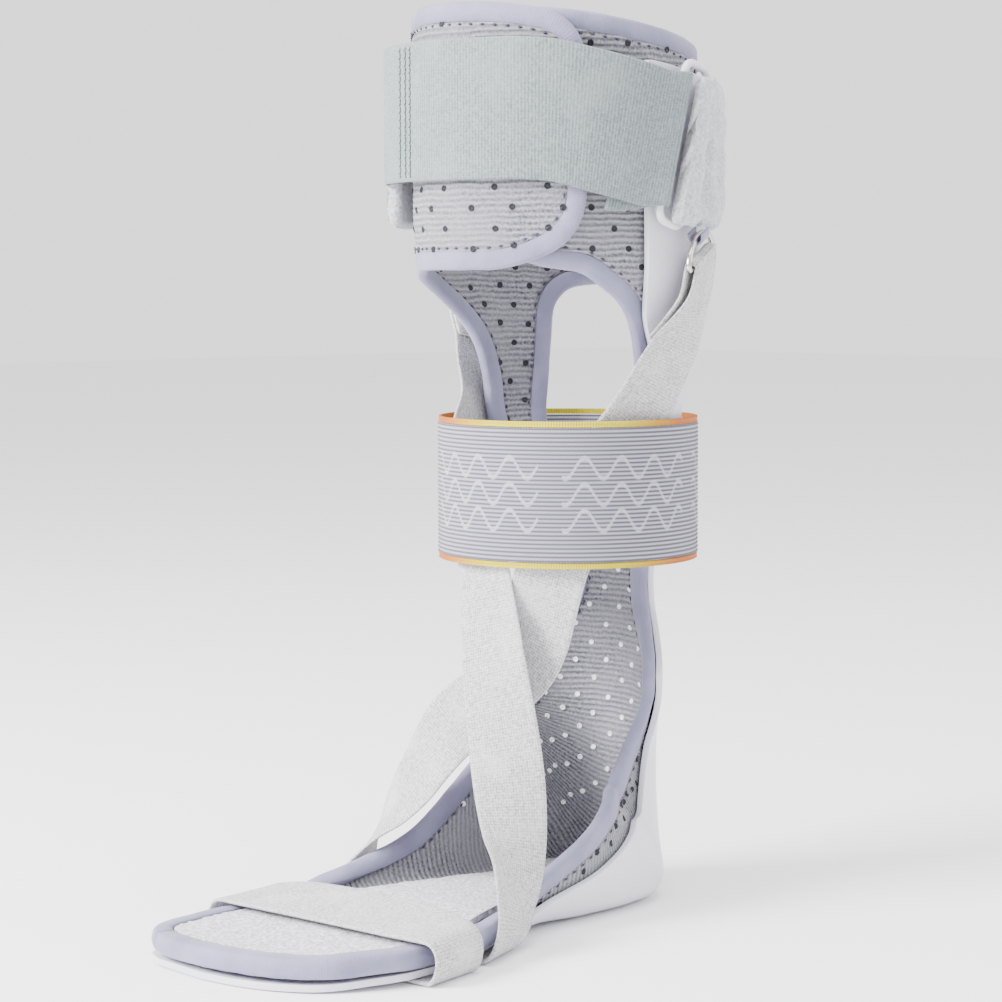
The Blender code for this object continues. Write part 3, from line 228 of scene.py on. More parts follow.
# The strap's return layer inside the ring: distance between the layers (the ring's fold)
STRAP_RETURN_GAPS = (0.97, 0.84, 0.66)
WIDTH_BLEND_STEPS = 3
LEVEL_HEIGHT = 0.022

# Forefoot strap, from under the plate up the near side, over the top and down the far side: share
# of the sole's half width across, share of the way from the low to the high level, and the rise of
# the rear edge over the front edge (FOREFOOT_STRAP_SWELL)
FOREFOOT_STRAP_AHEAD = 0.690
FOREFOOT_STRAP_SLOPE = 0.125
FOREFOOT_STRAP_SWELL = 0.0065
FOREFOOT_EDGE_RISE = 0.024
SOLE_FLARE = 0.19
FOREFOOT_LOOP = (
    (1.030, 0.35, 0.0), (1.035, 0.72, 0.0), (0.975, 1.00, 0.15), (0.83, 1.02, 0.55),
    (0.60, 1.00, 0.90), (0.30, 1.00, 1.0), (0.0, 1.00, 1.0), (-0.30, 1.00, 0.95),
    (-0.60, 1.00, 0.8), (-0.83, 1.00, 0.45), (-0.965, 0.99, 0.15), (-1.035, 0.72, 0.0),
    (-1.035, 0.35, 0.0), (-0.985, 0.05, 0.0), (-0.90, 0.0, 0.0), (-0.45, 0.0, 0.0),
    (0.0, 0.0, 0.0), (0.45, 0.0, 0.0), (0.90, 0.0, 0.0), (0.985, 0.05, 0.0),
)

# Calf strap, from the slot ring round the front: cuff angle and stand-off (CALF_STAND_OFF)
CALF_STAND_OFF = 0.00975
CALF_STRAP_RISE = 0.0125
CALF_RISE_ANGLE = 47.0
CALF_RETURN = 0.018
CALF_RETURN_REACHES = (0.5, 1.0)
CALF_STRAP_ROWS = (
    (98.0, 1.01), (106.0, 0.98), (114.0, 0.96), (123.0, 0.95), (134.0, 0.94), (146.0, 0.94),
    (158.0, 0.94), (170.0, 0.94), (182.0, 0.95), (194.0, 0.97), (205.0, 1.00), (214.0, 1.05),
    (223.0, 1.10), (232.0, 1.14), (241.0, 1.14),
)


# Fineness of the surfaces
ROW_STEP = 0.0012
SIDE_COLUMNS = 6
WINDOW_SIDE_COLUMNS = 3
CUFF_ROWS = 84
FLAP_ARC_STEP = 0.008
CORNER_STEPS = 9
SILL_BLEND = 0.030
STRAP_STEP = 0.012
STRAP_PARTS = 5
STRAP_COLUMNS = 14
CALF_COLUMNS = 24
LOOP_PARTS = 4
LOOP_COLUMNS = 8
FOLD_STEPS = 4
PAD_STEPS = 22
PAD_PARTS = 9
PAD_COLUMNS = 40
PAD_LEVEL_ANGLE = 40.0
D_RING_ARC_STEPS = 24
BAND_TURNS = 220
TAPE_STEP = 0.0025
TAPE_PASSES = 3
INSOLE_COLUMNS = 24
WIRE_SIDES = 3
PATH_PARTS = 12
TAB_PARTS = 12
SEARCH_STEPS = 40

# Ribs of the liner, the ankle band and its edges, and the waves of the padding
RIB_PITCH = 0.0023
RIB_DEPTH = 0.00028
LINER_WAVE = 0.00025
LINER_WAVE_SIZE = 0.018
BAND_RIB_PITCH = 0.00165
BAND_RIB_DEPTH = 0.0005
TRIM_RIB_DEPTH = 0.0003

# Rounding of cut edges, and the thicker (or pinched) edges of the straps
SHELL_ROUNDING = 0.0008
INSOLE_ROUNDING = 0.0007
BEAD_WIDTH = 0.0022
BEAD_RAMP = 0.0008
STRAP_BEAD = 0.00012
CALF_BEAD = 0.00008
PAD_PINCH = -0.0006

# The pad's bulges, wrinkles and fuzz, and its front end over the slot ring: run and lift
PAD_BULGE = 0.0026
PAD_WRINKLE = 0.0007
PAD_FUZZ = 0.0003
PAD_OVER_RING = ((0.006, 0.7), (0.013, 0.75))

# The terry's loops and the soft waves under them
PILE_DEPTH = 0.00035
PILE_SIZE = 0.0022
PILE_WAVE = 0.0003
PILE_WAVE_SIZE = 0.02

# Puckers of the bound tape
PUCKER_SHARE = 0.05
PUCKER_SIZE = 0.006

# Zigzags of the ankle band, and the turn at which its edges are the lightest yellow, on the side that faces
# the camera: a painted highlight
ZIGZAG_LENGTH = 0.0150
ZIGZAG_HEIGHT = 0.0080
ZIGZAG_ROW = 0.0102
ZIGZAG_LOW = 0.0186
ZIGZAG_THREAD = 0.0009
ZIGZAG_GROUP = 0.0662
ZIGZAG_SHIFT = 0.0144
ZIGZAG_SPACE = 0.05
TRIM_HIGHLIGHT_TURN = 0.70

# The liner's eyelets: rings as shares of the radius with their rise, and the lattice
HOLE_RADIUS = 0.00100
PALE_HOLE_SHARE = 0.85
EYELET_SIDES = 10
EYELET_RINGS = ((1.35, -0.0001), (1.18, 0.00045), (0.98, 0.00030))
HOLE_ROW = 0.0155
HOLE_COLUMN = 0.016
HOLE_MISS = 0.004
HOLE_RISE = 0.0039
HOLE_FRONT = -0.045
HOLE_FLOOR = 0.034
SHANK_LOW = 0.06

# Stitches along the tape and on the calf strap's tab
STITCH_PITCH = 0.0030
STITCH_LENGTH = 0.0024
STITCH_WIDTH = 0.00060
STITCH_INSET = 0.0010
STITCH_RISE = 0.0002
TAB_COLUMNS = (0.0510, 0.0550, 0.0590)
TAB_STITCHES = 34
TAB_TILT = 0.7
TAB_SHARE = 0.94
TAB_RISE = 0.0003

# Studio: world strength, area lights (name, place, size, power) and the camera
WORLD_STRENGTH = 1.75
LIGHTS = (
    ("key", (-0.45, -1.40, 0.95), 0.7, 95.0),
    ("top", (0.2, -0.2, 1.60), 0.8, 20.0),
    ("back", (0.9, 1.1, 0.9), 0.8, 8.0),
)
LIGHT_TARGET = Vector((0.0, -0.03, 0.15))
FLOOR_HALF = 6.0
FLOOR_Z = -0.0002
CAMERA_PLACE = Vector((0.7553, -0.7404, 0.253))
CAMERA_TARGET = Vector((0.0, LEG_AXIS_Y, 0.163))
CAMERA_LENS = 93.4
CAMERA_SHIFT = -0.0669


class Section:
    """Half of a cross-section: a flat, then a rounded wall, measured along from the spine."""

    def __init__(self, half_width, flat, depth, squareness):
        power = 2.0 / squareness
        self.angles = [float(step) for step in range(0, 176)]
        self.points = []
        self.lengths = []
        length = 0.0
        last = (0.0, 0.0)
        for angle in self.angles:
            sine = math.sin(math.radians(angle))
            cosine = math.cos(math.radians(angle))
            across = flat + (half_width - flat) * sine ** power
            inward = depth * (1.0 - math.copysign(abs(cosine) ** power, cosine))
            if angle == 0.0:
                across = flat
                inward = 0.0
            length += math.dist((across, inward), last)
            last = (across, inward)
            self.points.append(last)
            self.lengths.append(length)

    def length_at_height(self, height):
        for index in range(1, len(self.points)):
            after = self.points[index][1]
            if after >= height:
                before = self.points[index - 1][1]
                part = (height - before) / (after - before)
                span = self.lengths[index] - self.lengths[index - 1]
                return self.lengths[index - 1] + part * span
        return self.lengths[-1]

    def length_at_angle(self, angle):
        low = min(int(angle), len(self.angles) - 2)
        part = angle - self.angles[low]
        return self.lengths[low] + part * (self.lengths[low + 1] - self.lengths[low])

    def angle_at_length(self, length):
        for index in range(1, len(self.lengths)):
            if self.lengths[index] >= length:
                part = (length - self.lengths[index - 1]) / (self.lengths[index] - self.lengths[index - 1])
                return self.angles[index - 1] + part
        return self.angles[-1]

    def point_at_length(self, length):
        if length <= self.lengths[0]:
            return (length, 0.0)
        for index in range(1, len(self.lengths)):
            if self.lengths[index] >= length:
                step = self.lengths[index] - self.lengths[index - 1]
                part = (length - self.lengths[index - 1]) / step
                before = self.points[index - 1]
                after = self.points[index]
                return tuple(b + part * (a - b) for b, a in zip(before, after))
        return self.points[-1]


class Station:
    """One cross-section of the liner's outer face, set on the spine."""

    def __init__(self, values):
        self.y, self.z, self.lean, self.half_width, self.flat, self.depth = values[:6]
        self.squareness, self.near, self.far, self.setback, self.plate_drop, self.shift = values[6:]
        self.cached = None

    @property
    def section(self):
        if self.cached is None:
            self.cached = Section(self.half_width, self.flat, self.depth, self.squareness)
        return self.cached

    def place(self, across, inward):
        lean = math.radians(self.lean)
        y = self.y - inward * math.sin(lean)
        return Vector((self.shift + across, y, self.z + inward * math.cos(lean)))

    def at_length(self, length):
        across, inward = self.section.point_at_length(abs(length))
        return self.place(math.copysign(across, length), inward)

    def at_angle(self, angle, outset=0.0):
        turn = math.radians(angle)
        across = (self.half_width + outset) * math.sin(turn)
        inward = self.depth - (self.depth + outset) * math.cos(turn)
        return self.place(across, inward)


def foot_row(row):
    ahead, arch, lift, shift, half_width, flat, depth, squareness, near, far, setback = row
    half_width *= BALL_WIDTH / 2
    section = Section(half_width, flat * half_width, depth * WING_HEIGHT, squareness)
    return (
        -ahead * FORE_LENGTH, SEAT_Z + arch * PLATE_ARCH + lift * TOE_LIFT, 0.0,
        half_width, flat * half_width, depth * WING_HEIGHT, squareness,
        section.length_at_height(near * WING_HEIGHT), section.length_at_height(far * WING_HEIGHT),
        setback * WING_HEIGHT, lift * TOE_LIFT, shift * BALL_WIDTH / 2,
    )


def heel_row(row):
    back, rise, half_width, flat, depth, squareness, near, far, setback = row
    y = back * HEEL_BACK
    lift = rise * WING_HEIGHT
    lean = math.degrees(math.atan2(y + PIVOT_AHEAD, PIVOT_RISE - lift))
    half_width *= BALL_WIDTH / 2
    section = Section(half_width, flat * half_width, depth * WING_HEIGHT, squareness)
    return (
        y, SEAT_Z + lift, lean,
        half_width, flat * half_width, depth * WING_HEIGHT, squareness,
        section.length_at_height(near * WING_HEIGHT), section.length_at_height(far * WING_HEIGHT),
        setback * WING_HEIGHT, 0.0, 0.0,
    )


def leg_row(row):
    height, back, half_width, depth, near, far, setback = row
    half_width *= CUFF_WIDTH / 2
    depth *= CUFF_DEPTH / 2
    section = Section(half_width, 0.0, depth, 2.0)
    return (
        LEG_AXIS_Y + back * CUFF_DEPTH / 2, height * BRACE_HEIGHT, 90.0,
        half_width, 0.0, depth, 2.0,
        section.length_at_angle(near), section.length_at_angle(far),
        setback * WING_HEIGHT, 0.0, 0.0,
    )


class Spine:
    """The rows in order from toe to rim, joined by smooth curves through their values."""

    def __init__(self):
        self.rows = [foot_row(row) for row in FOOT_ROWS]
        self.rows += [heel_row(row) for row in HEEL_ROWS]
        self.first_leg = len(self.rows)
        self.rows += [leg_row(row) for row in LEG_ROWS]
        self.marks = [0.0]
        for before, after in zip(self.rows, self.rows[1:]):
            self.marks.append(self.marks[-1] + math.dist(before[:2], after[:2]))

    def slope(self, index, column):
        low = max(index - 1, 0)
        high = min(index + 1, len(self.rows) - 1)
        change = self.rows[high][column] - self.rows[low][column]
        return change / (self.marks[high] - self.marks[low])

    def at(self, mark):
        index = 0
        while index < len(self.marks) - 2 and self.marks[index + 1] < mark:
            index += 1
        span = self.marks[index + 1] - self.marks[index]
        t = (mark - self.marks[index]) / span
        values = []
        for column in range(len(self.rows[0])):
            before = self.rows[index][column]
            after = self.rows[index + 1][column]
            rise = self.slope(index, column) * span
            fall = self.slope(index + 1, column) * span
            values.append(
                before * (2 * t ** 3 - 3 * t ** 2 + 1) + rise * (t ** 3 - 2 * t ** 2 + t)
                + after * (3 * t ** 2 - 2 * t ** 3) + fall * (t ** 3 - t ** 2)
            )
        return Station(values)

    def search(self, low, high, before):
        """The mark at which a station stops being before the sought one."""
        for _ in range(SEARCH_STEPS):
            middle = (low + high) / 2
            if before(self.at(middle)):
                low = middle
            else:
                high = middle
        return low

    def mark_at_height(self, height):
        return self.search(self.marks[self.first_leg - 1], self.marks[-1], lambda station: station.z < height)

    def at_height(self, height):
        return self.at(self.mark_at_height(height))

    def at_ahead(self, share):
        """The sole's cross-section at a share of FORE_LENGTH ahead of the heel."""
        y = -share * FORE_LENGTH
        return self.at(self.search(0.0, self.marks[len(FOOT_ROWS) - 1], lambda station: station.y < y))

    def marks_up_to(self, height):
        """Marks of the table's rows, with long gaps divided, ending at a height of the leg."""
        end = self.mark_at_height(height)
        marks = [0.0]
        for mark in self.marks[1:]:
            target = min(mark, end)
            gap = target - marks[-1]
            pieces = max(1, math.ceil(gap / ROW_STEP - 0.2))
            start = marks[-1]
            for piece in range(1, pieces + 1):
                marks.append(start + gap * piece / pieces)
            if mark >= end:
                break
        return marks


SPINE = Spine()


def toe_squeeze(y, inset):
    """Draw the toe in by an inset, without moving the ball of the foot."""
    ball = -FOOT_ROWS[5][0] * FORE_LENGTH
    tip = -FORE_LENGTH
    if y >= ball:
        return y
    return ball + (y - ball) * (1.0 - inset / (ball - tip))


def window_half_arc(height, grow):
    """Half the window's width along the wall at a height, with its outline grown."""
    half = WINDOW_HALF_ARC + grow
    above_sill = (height - WINDOW_LOW + grow) / WINDOW_CORNER_LOW
    below_head = (WINDOW_HIGH + grow - height) / WINDOW_CORNER_HIGH
    if above_sill < 1.0:
        return half * rounded_share(above_sill, WINDOW_SILL_SHARE)
    if below_head < 1.0:
        return half * rounded_share(below_head, WINDOW_HEAD_SHARE)
    return half


def rounded_share(t, start):
    """A quarter-round rise from a starting share to one."""
    t = max(t, 0.0)
    return start + (1.0 - start) * math.sqrt(1.0 - (1.0 - t) ** 2)


def rim_height(angle):
    return BRACE_HEIGHT - RIM_DROP * (0.5 + 0.5 * math.cos(math.radians(angle)))


def lap_offset(angle):
    """How far the far flap stands out where it laps over the near flap."""
    t = (-angle - LAP_START) / (LAP_END - LAP_START)
    t = min(max(t, 0.0), 1.0)
    step = LINER_WALL + 2 * CLEARANCE + (BINDING_THICKNESS - LINER_WALL) + 0.0006
    return step * t * t * (3.0 - 2.0 * t)


class Surface:
    """The open surface of the liner or of the shell, as a fine grid with lengths along and across."""

    def __init__(self, inset, window_grow, with_flaps):
        self.inset = inset
        self.grow = window_grow
        self.with_flaps = with_flaps
        self.mesh = bmesh.new()
        self.flat = {}

    def edges(self, station):
        if self.with_flaps:
            return station.near - self.inset, station.far - self.inset
        reach = station.near - station.setback
        reach = min(reach, station.section.length_at_angle(SHELL_CUFF_ANGLE))
        return reach, reach

    def station(self, mark):
        station = SPINE.at(mark)
        if self.with_flaps:
            station.y = toe_squeeze(station.y, self.inset)
        else:
            station.y = toe_squeeze(station.y, station.setback)
            station.z -= station.plate_drop
        return station

    def vert(self, place, across, along):
        vert = self.mesh.verts.new(place)
        self.flat[vert] = (across, along)
        return vert

    def lengths(self, station, near_window, far_window):
        near, far = self.edges(station)
        sides = [1.0 - step / SIDE_COLUMNS for step in range(SIDE_COLUMNS)]
        middle = [1.0 - step / WINDOW_SIDE_COLUMNS for step in range(2 * WINDOW_SIDE_COLUMNS + 1)]
        lengths = [-(far_window + (far - far_window) * part) for part in sides]
        lengths += [-far_window * part if part > 0 else -near_window * part for part in middle]
        lengths += [near_window + (near - near_window) * part for part in reversed(sides)]
        return lengths

    def even_lengths(self, station):
        near, far = self.edges(station)
        count = SIDE_COLUMNS + WINDOW_SIDE_COLUMNS
        lengths = [-far * (1.0 - step / count) for step in range(count)]
        return lengths + [near * step / count for step in range(count + 1)]

    def build(self):
        low = WINDOW_LOW - self.grow
        high = WINDOW_HIGH + self.grow
        sill_arc = window_half_arc(low, self.grow)
        sill_mark = SPINE.mark_at_height(low)
        grid = []
        for mark in SPINE.marks_up_to(low):
            station = self.station(mark)
            change = min(max((mark - sill_mark) / SILL_BLEND + 1.0, 0.0), 1.0)
            change = change * change * (3.0 - 2.0 * change)
            lengths = self.even_lengths(station)
            if change > 0.0:
                sill = self.lengths(station, sill_arc, sill_arc)
                lengths = [a + (b - a) * change for a, b in zip(lengths, sill)]
            grid.append([self.vert(station.at_length(length), length, mark) for length in lengths])
        self.fill(grid)
        heights = self.upright_heights(low, high)
        upper = [grid[-1]]
        angles = []
        for height in heights:
            station = SPINE.at_height(height)
            arc = window_half_arc(height, self.grow)
            lengths = self.lengths(station, arc, arc)
            row = []
            for index, length in enumerate(lengths):
                inside = SIDE_COLUMNS < index < SIDE_COLUMNS + 2 * WINDOW_SIDE_COLUMNS
                if inside and height != heights[-1]:
                    row.append(None)
                else:
                    row.append(self.vert(station.at_length(length), length, sill_mark + height - low))
            upper.append(row)
            if height == heights[-1]:
                angles = [
                    math.copysign(station.section.angle_at_length(abs(length)), length)
                    for length in lengths
                ]
        for before, after in zip(upper, upper[1:]):
            for column in range(len(before) - 1):
                if column < SIDE_COLUMNS or column >= SIDE_COLUMNS + 2 * WINDOW_SIDE_COLUMNS:
                    self.face(before, after, column)
        self.cuff(upper[-1], angles, high, sill_mark - low)
        return self.mesh

    def upright_heights(self, low, high):
        turns = [math.radians(90.0 * (step + 1) / CORNER_STEPS) for step in range(CORNER_STEPS)]
        heights = [low + WINDOW_CORNER_LOW * (1.0 - math.cos(turn)) for turn in turns]
        middle = high - low - WINDOW_CORNER_LOW - WINDOW_CORNER_HIGH
        count = max(1, round(middle / ROW_STEP))
        heights += [low + WINDOW_CORNER_LOW + middle * (step + 1) / count for step in range(count)]
        heights += [high - WINDOW_CORNER_HIGH * (1.0 - math.sin(turn)) for turn in turns]
        return heights

    def cuff(self, joint, angles, joint_height, mark_shift):
        columns = [(angle, vert, joint_height) for angle, vert in zip(angles, joint)]
        if self.with_flaps:
            inset_angle = math.degrees(self.inset / (CUFF_WIDTH / 2))
            columns = self.flap(angles[0], -(FAR_FLAP_END - inset_angle))[::-1] + columns
            columns = columns + self.flap(angles[-1], NEAR_FLAP_END - inset_angle)
        rows = [[] for _ in range(CUFF_ROWS + 1)]
        radius = CUFF_WIDTH / 2 * 0.9
        for angle, vert, bottom in columns:
            top = self.column_top(angle)
            for step in range(CUFF_ROWS + 1):
                if step == 0 and vert is not None:
                    rows[0].append(vert)
                    continue
                height = bottom + (top - bottom) * step / CUFF_ROWS
                place = SPINE.at_height(height).at_angle(angle, lap_offset(angle))
                across = math.radians(angle) * radius
                rows[step].append(self.vert(place, across, height + mark_shift))
        self.fill(rows)

    def column_top(self, angle):
        if not self.with_flaps:
            return rim_height(angle) - SHELL_RIM_SETBACK
        return rim_height(angle) - self.inset - self.corner_drop(angle, FLAP_CORNER_HIGH)

    def corner_drop(self, angle, radius):
        end = FAR_FLAP_END if angle < 0 else NEAR_FLAP_END
        remaining = math.radians(end - abs(angle)) * CUFF_WIDTH / 2 - self.inset
        if remaining >= radius:
            return 0.0
        part = (radius - max(remaining, 0.0)) / radius
        return radius * (1.0 - math.sqrt(max(1.0 - part * part, 0.0))) * 0.9

    def flap(self, start, end):
        reach = CUFF_WIDTH / 2
        count = math.ceil(math.radians(abs(end - start)) * reach / FLAP_ARC_STEP)
        low = FLAP_LOW + self.inset
        joint_height = WINDOW_HIGH + self.grow
        corner = math.degrees(FLAP_CORNER_LOW / reach)
        columns = []
        for step in range(count):
            share = (step + 1) / count
            angle = start + (end - start) * share
            if abs(end - angle) < corner:
                turn = math.asin(min(abs(end - angle) / corner, 1.0))
                angle = end - math.copysign(corner * (1.0 - math.cos(turn)), end)
            run = math.radians(abs(angle - start)) * reach
            part = max(0.0, 1.0 - run / FLAP_FILLET)
            bottom = low + (joint_height - low) * part * part
            bottom += self.corner_drop(angle, FLAP_CORNER_LOW)
            columns.append((angle, None, bottom))
        return columns

    def fill(self, grid):
        for before, after in zip(grid, grid[1:]):
            for column in range(len(before) - 1):
                self.face(before, after, column)

    def face(self, before, after, column):
        corners = (before[column], before[column + 1], after[column + 1], after[column])
        self.mesh.faces.new(corners)


def to_object(name, mesh, flat=None):
    """Make an object of a mesh, with its lengths across and along kept as its UV map."""
    if flat is not None:
        layer = mesh.loops.layers.uv.new("Flat")
        for face in mesh.faces:
            for corner in face.loops:
                corner[layer].uv = flat[corner.vert]
    data = bpy.data.meshes.new(name)
    mesh.to_mesh(data)
    mesh.free()
    data.shade_smooth()
    piece = bpy.data.objects.new(name, data)
    bpy.context.scene.collection.objects.link(piece)
    return piece


def settle(piece):
    """Apply a piece's modifiers."""
    graph = bpy.context.evaluated_depsgraph_get()
    data = bpy.data.meshes.new_from_object(piece.evaluated_get(graph))
    old = piece.data
    piece.modifiers.clear()
    piece.data = data
    bpy.data.meshes.remove(old)
    data.name = piece.name
    data.shade_smooth()


def outward_side(mesh):
    """Turn a surface's faces so that the sole looks down."""
    bmesh.ops.recalc_face_normals(mesh, faces=mesh.faces)
    lowest = min(mesh.faces, key=lambda face: face.calc_center_median().z)
    if lowest.normal.z > 0:
        bmesh.ops.reverse_faces(mesh, faces=mesh.faces)


def thicken(piece, wall, offset, subdivide=1, rounding=0.0):
    if subdivide:
        smooth = piece.modifiers.new("Smooth", "SUBSURF")
        smooth.levels = subdivide
        smooth.render_levels = subdivide
    solid = piece.modifiers.new("Wall", "SOLIDIFY")
    solid.thickness = wall
    solid.offset = offset
    solid.use_even_offset = True
    solid.use_quality_normals = True
    if rounding:
        bevel = piece.modifiers.new("Rounding", "BEVEL")
        bevel.width = rounding
        bevel.segments = 2
        bevel.limit_method = "ANGLE"
        bevel.angle_limit = math.radians(50.0)
    settle(piece)


def coordinates(piece):
    """A mesh's places, normals and lengths across and along, one row for each vertex."""
    data = piece.data
    count = len(data.vertices)
    places = np.empty(count * 3)
    data.vertices.foreach_get("co", places)
    normals = np.empty(count * 3)
    data.vertices.foreach_get("normal", normals)
    flat = np.zeros((count, 2))
    if data.uv_layers:
        corners = np.empty(len(data.loops) * 2)
        data.uv_layers[0].data.foreach_get("uv", corners)
        owners = np.empty(len(data.loops), dtype=np.int64)
        data.loops.foreach_get("vertex_index", owners)
        flat[owners] = corners.reshape(-1, 2)
    return places.reshape(-1, 3), normals.reshape(-1, 3), flat


def push(piece, amounts):
    """Move each vertex along its normal by its amount."""
    places, normals, _ = coordinates(piece)
    places += normals * amounts[:, None]
    piece.data.vertices.foreach_set("co", places.ravel())
    piece.data.update()


def soft_noise(places, scale, seed=0.0):
    shift = Vector((seed, seed * 0.7, -seed * 1.3))
    return np.array([noise.noise(Vector(place) / scale + shift) for place in places])


def blend(p, q, r, w, t):
    """A smooth value between q and r, on a curve that also goes through p and w."""
    bend = (2 * p - 5 * q + 4 * r - w) * t ** 2
    return 0.5 * (2 * q + (r - p) * t + bend + (3 * q - p - 3 * r + w) * t ** 3)


def curve_through(points, parts, closed=False):
    """A smooth curve through all the points, with the same number of parts between each two."""
    count = len(points)
    fine = []
    for index in range(count if closed else count - 1):
        before = points[index - 1] if closed or index else points[0]
        start = points[index]
        end = points[(index + 1) % count]
        after = points[(index + 2) % count] if closed else points[min(index + 2, count - 1)]
        for part in range(parts):
            fine.append(blend(before, start, end, after, part / parts))
    if not closed:
        fine.append(points[-1])
    return fine


def path_length(points):
    return sum((b - a).length for a, b in zip(points, points[1:]))


def smooth_path(points, step):
    """Read a smooth curve through the points at about even steps."""
    fine = curve_through(points, PATH_PARTS)
    total = path_length(fine)
    count = max(2, round(total / step))
    path = [fine[0]]
    travelled = 0.0
    for before, after in zip(fine, fine[1:]):
        gap = (after - before).length
        while len(path) < count and travelled + gap >= total * len(path) / count - 1e-12:
            part = (total * len(path) / count - travelled) / gap
            path.append(before.lerp(after, part))
        travelled += gap
    path.append(fine[-1])
    return path


def round_leg(height, angle, radius):
    turn = math.radians(angle)
    return Vector((radius * math.sin(turn), LEG_AXIS_Y + radius * math.cos(turn), height))


def cuff_place(angle, height, stand_off):
    """A point off the cuff's wall, at an angle that may run on past the front."""
    return SPINE.at_height(height).at_angle(angle, stand_off)


def facing(angle, dip=0.0):
    turn = math.radians(angle)
    level = math.cos(math.radians(dip))
    return Vector((level * math.sin(turn), level * math.cos(turn), -math.sin(math.radians(dip))))


def strap_path(rows, side):
    """Places and facings of a cross strap's rows, smoothed together."""
    places = []
    faces = []
    for height, angle, radius, face, dip in rows:
        places.append(round_leg(height * BRACE_HEIGHT, side * angle, radius * BAND_RADIUS))
        faces.append(facing(side * face, dip))
    path = smooth_path(places, STRAP_STEP)
    marks = [0.0]
    for before, after in zip(places, places[1:]):
        marks.append(marks[-1] + (after - before).length)
    travelled = 0.0
    normals = []
    for index, place in enumerate(path):
        if index:
            travelled += (place - path[index - 1]).length
        mark = travelled * marks[-1] / path_length(path)
        row = 0
        while row < len(marks) - 2 and marks[row + 1] < mark:
            row += 1
        part = min(max((mark - marks[row]) / (marks[row + 1] - marks[row]), 0.0), 1.0)
        normals.append(faces[row].lerp(faces[row + 1], part).normalized())
        if index == len(path) - 1:
            normals[-1] = faces[-1]
    return path, normals


def ring_frame(side):
    """The D-ring's bar centre, the bar's direction, the way up in its plane and the way out."""
    centre = cuff_place(side * D_RING_ANGLE, D_RING_BAR_HEIGHT, D_RING_STAND_OFF)
    outward = facing(side * D_RING_FACE)
    level = Vector((outward.y, -outward.x, 0.0)) * side
    tilt = math.radians(D_RING_TILT)
    along = level * math.cos(tilt) - Vector((0.0, 0.0, math.sin(tilt)))
    up = level * math.sin(tilt) + Vector((0.0, 0.0, math.cos(tilt)))
    return centre, along, up, outward


def strap_fold(side):
    """The turn of a cross strap round its D-ring's bar, from the inner to the outer layer."""
    centre, _, up, outward = ring_frame(side)
    radius = D_RING_WIRE / 2 + CLEARANCE + STRAP_THICKNESS / 2
    places = []
    normals = []
    for step in range(FOLD_STEPS + 1):
        turn = math.pi * step / FOLD_STEPS
        direction = outward * -math.cos(turn) + up * math.sin(turn)
        places.append(centre + direction * radius)
        normals.append(direction)
    return places, normals


def width_directions(path, normals, bar):
    """The strap's width along its path: along the ring's bar at first, level near the floor."""
    directions = []
    for index, place in enumerate(path):
        along = path[min(index + 1, len(path) - 1)] - path[max(index - 1, 0)]
        natural = along.cross(normals[index]).normalized()
        if natural.dot(bar) < 0 and index == 0:
            bar = -bar
        natural = bar.lerp(natural, min(index / WIDTH_BLEND_STEPS, 1.0))
        natural.z *= min(place.z / LEVEL_HEIGHT, 1.0)
        directions.append(natural.normalized())
    return directions


def joined_path(rows, side, joint):
    """A strap's path down from where it leaves its ring's fold."""
    offset = joint - Vector((0.0, LEG_AXIS_Y, 0.0))
    radius = math.hypot(offset.x, offset.y)
    angle = math.degrees(math.atan2(side * offset.x, offset.y))
    row = (joint.z / BRACE_HEIGHT, angle, radius / BAND_RADIUS, D_RING_FACE, 0.0)
    return strap_path([row] + list(rows), side)


def smooth_row(rows, index, t):
    """A smooth value between a row of a closed table and the next."""
    count = len(rows)
    near_rows = (rows[index - 1], rows[index], rows[(index + 1) % count], rows[(index + 2) % count])
    return [blend(p, q, r, w, t) for p, q, r, w in zip(*near_rows)]


def sole_wall():
    return LINER_WALL + 2 * CLEARANCE + INSOLE_WALL


def insole_top():
    return SEAT_Z + PLATE_ARCH + sole_wall()


def pad_stand_off():
    return LINER_GAP + SHELL_WALL + 4 * CLEARANCE + PAD_THICKNESS / 2


def slot_bar_stand_off():
    """How far the slot ring's wire stands off the liner's wall."""
    return LINER_GAP + SHELL_WALL + 5 * CLEARANCE + CALF_STRAP_THICKNESS + SLOT_RING_WIRE / 2


def leaning(angle, share):
    """The way up on the cuff at an angle, leaning by a share of the slot ring's tilt."""
    outward = facing(angle)
    level = Vector((outward.y, -outward.x, 0.0))
    tilt = math.radians(SLOT_RING_TILT * share)
    return Vector((0.0, 0.0, math.cos(tilt))) - level * math.sin(tilt)


def slot_ring_frame():
    """The slot ring's centre, its direction across, its way up and the way out."""
    centre = cuff_place(SLOT_RING_ANGLE, SLOT_RING_CENTRE, slot_bar_stand_off())
    outward = facing(SLOT_RING_ANGLE)
    up = leaning(SLOT_RING_ANGLE, 1.0)
    return centre, outward.cross(up), up, outward


def slot_bar_angle(share):
    """The cuff angle of a point across the slot ring, from its back bar (-1) to its front bar."""
    reach = CUFF_WIDTH / 2 + slot_bar_stand_off()
    return SLOT_RING_ANGLE + math.degrees(share * SLOT_RING_WIDTH / 2 / reach)


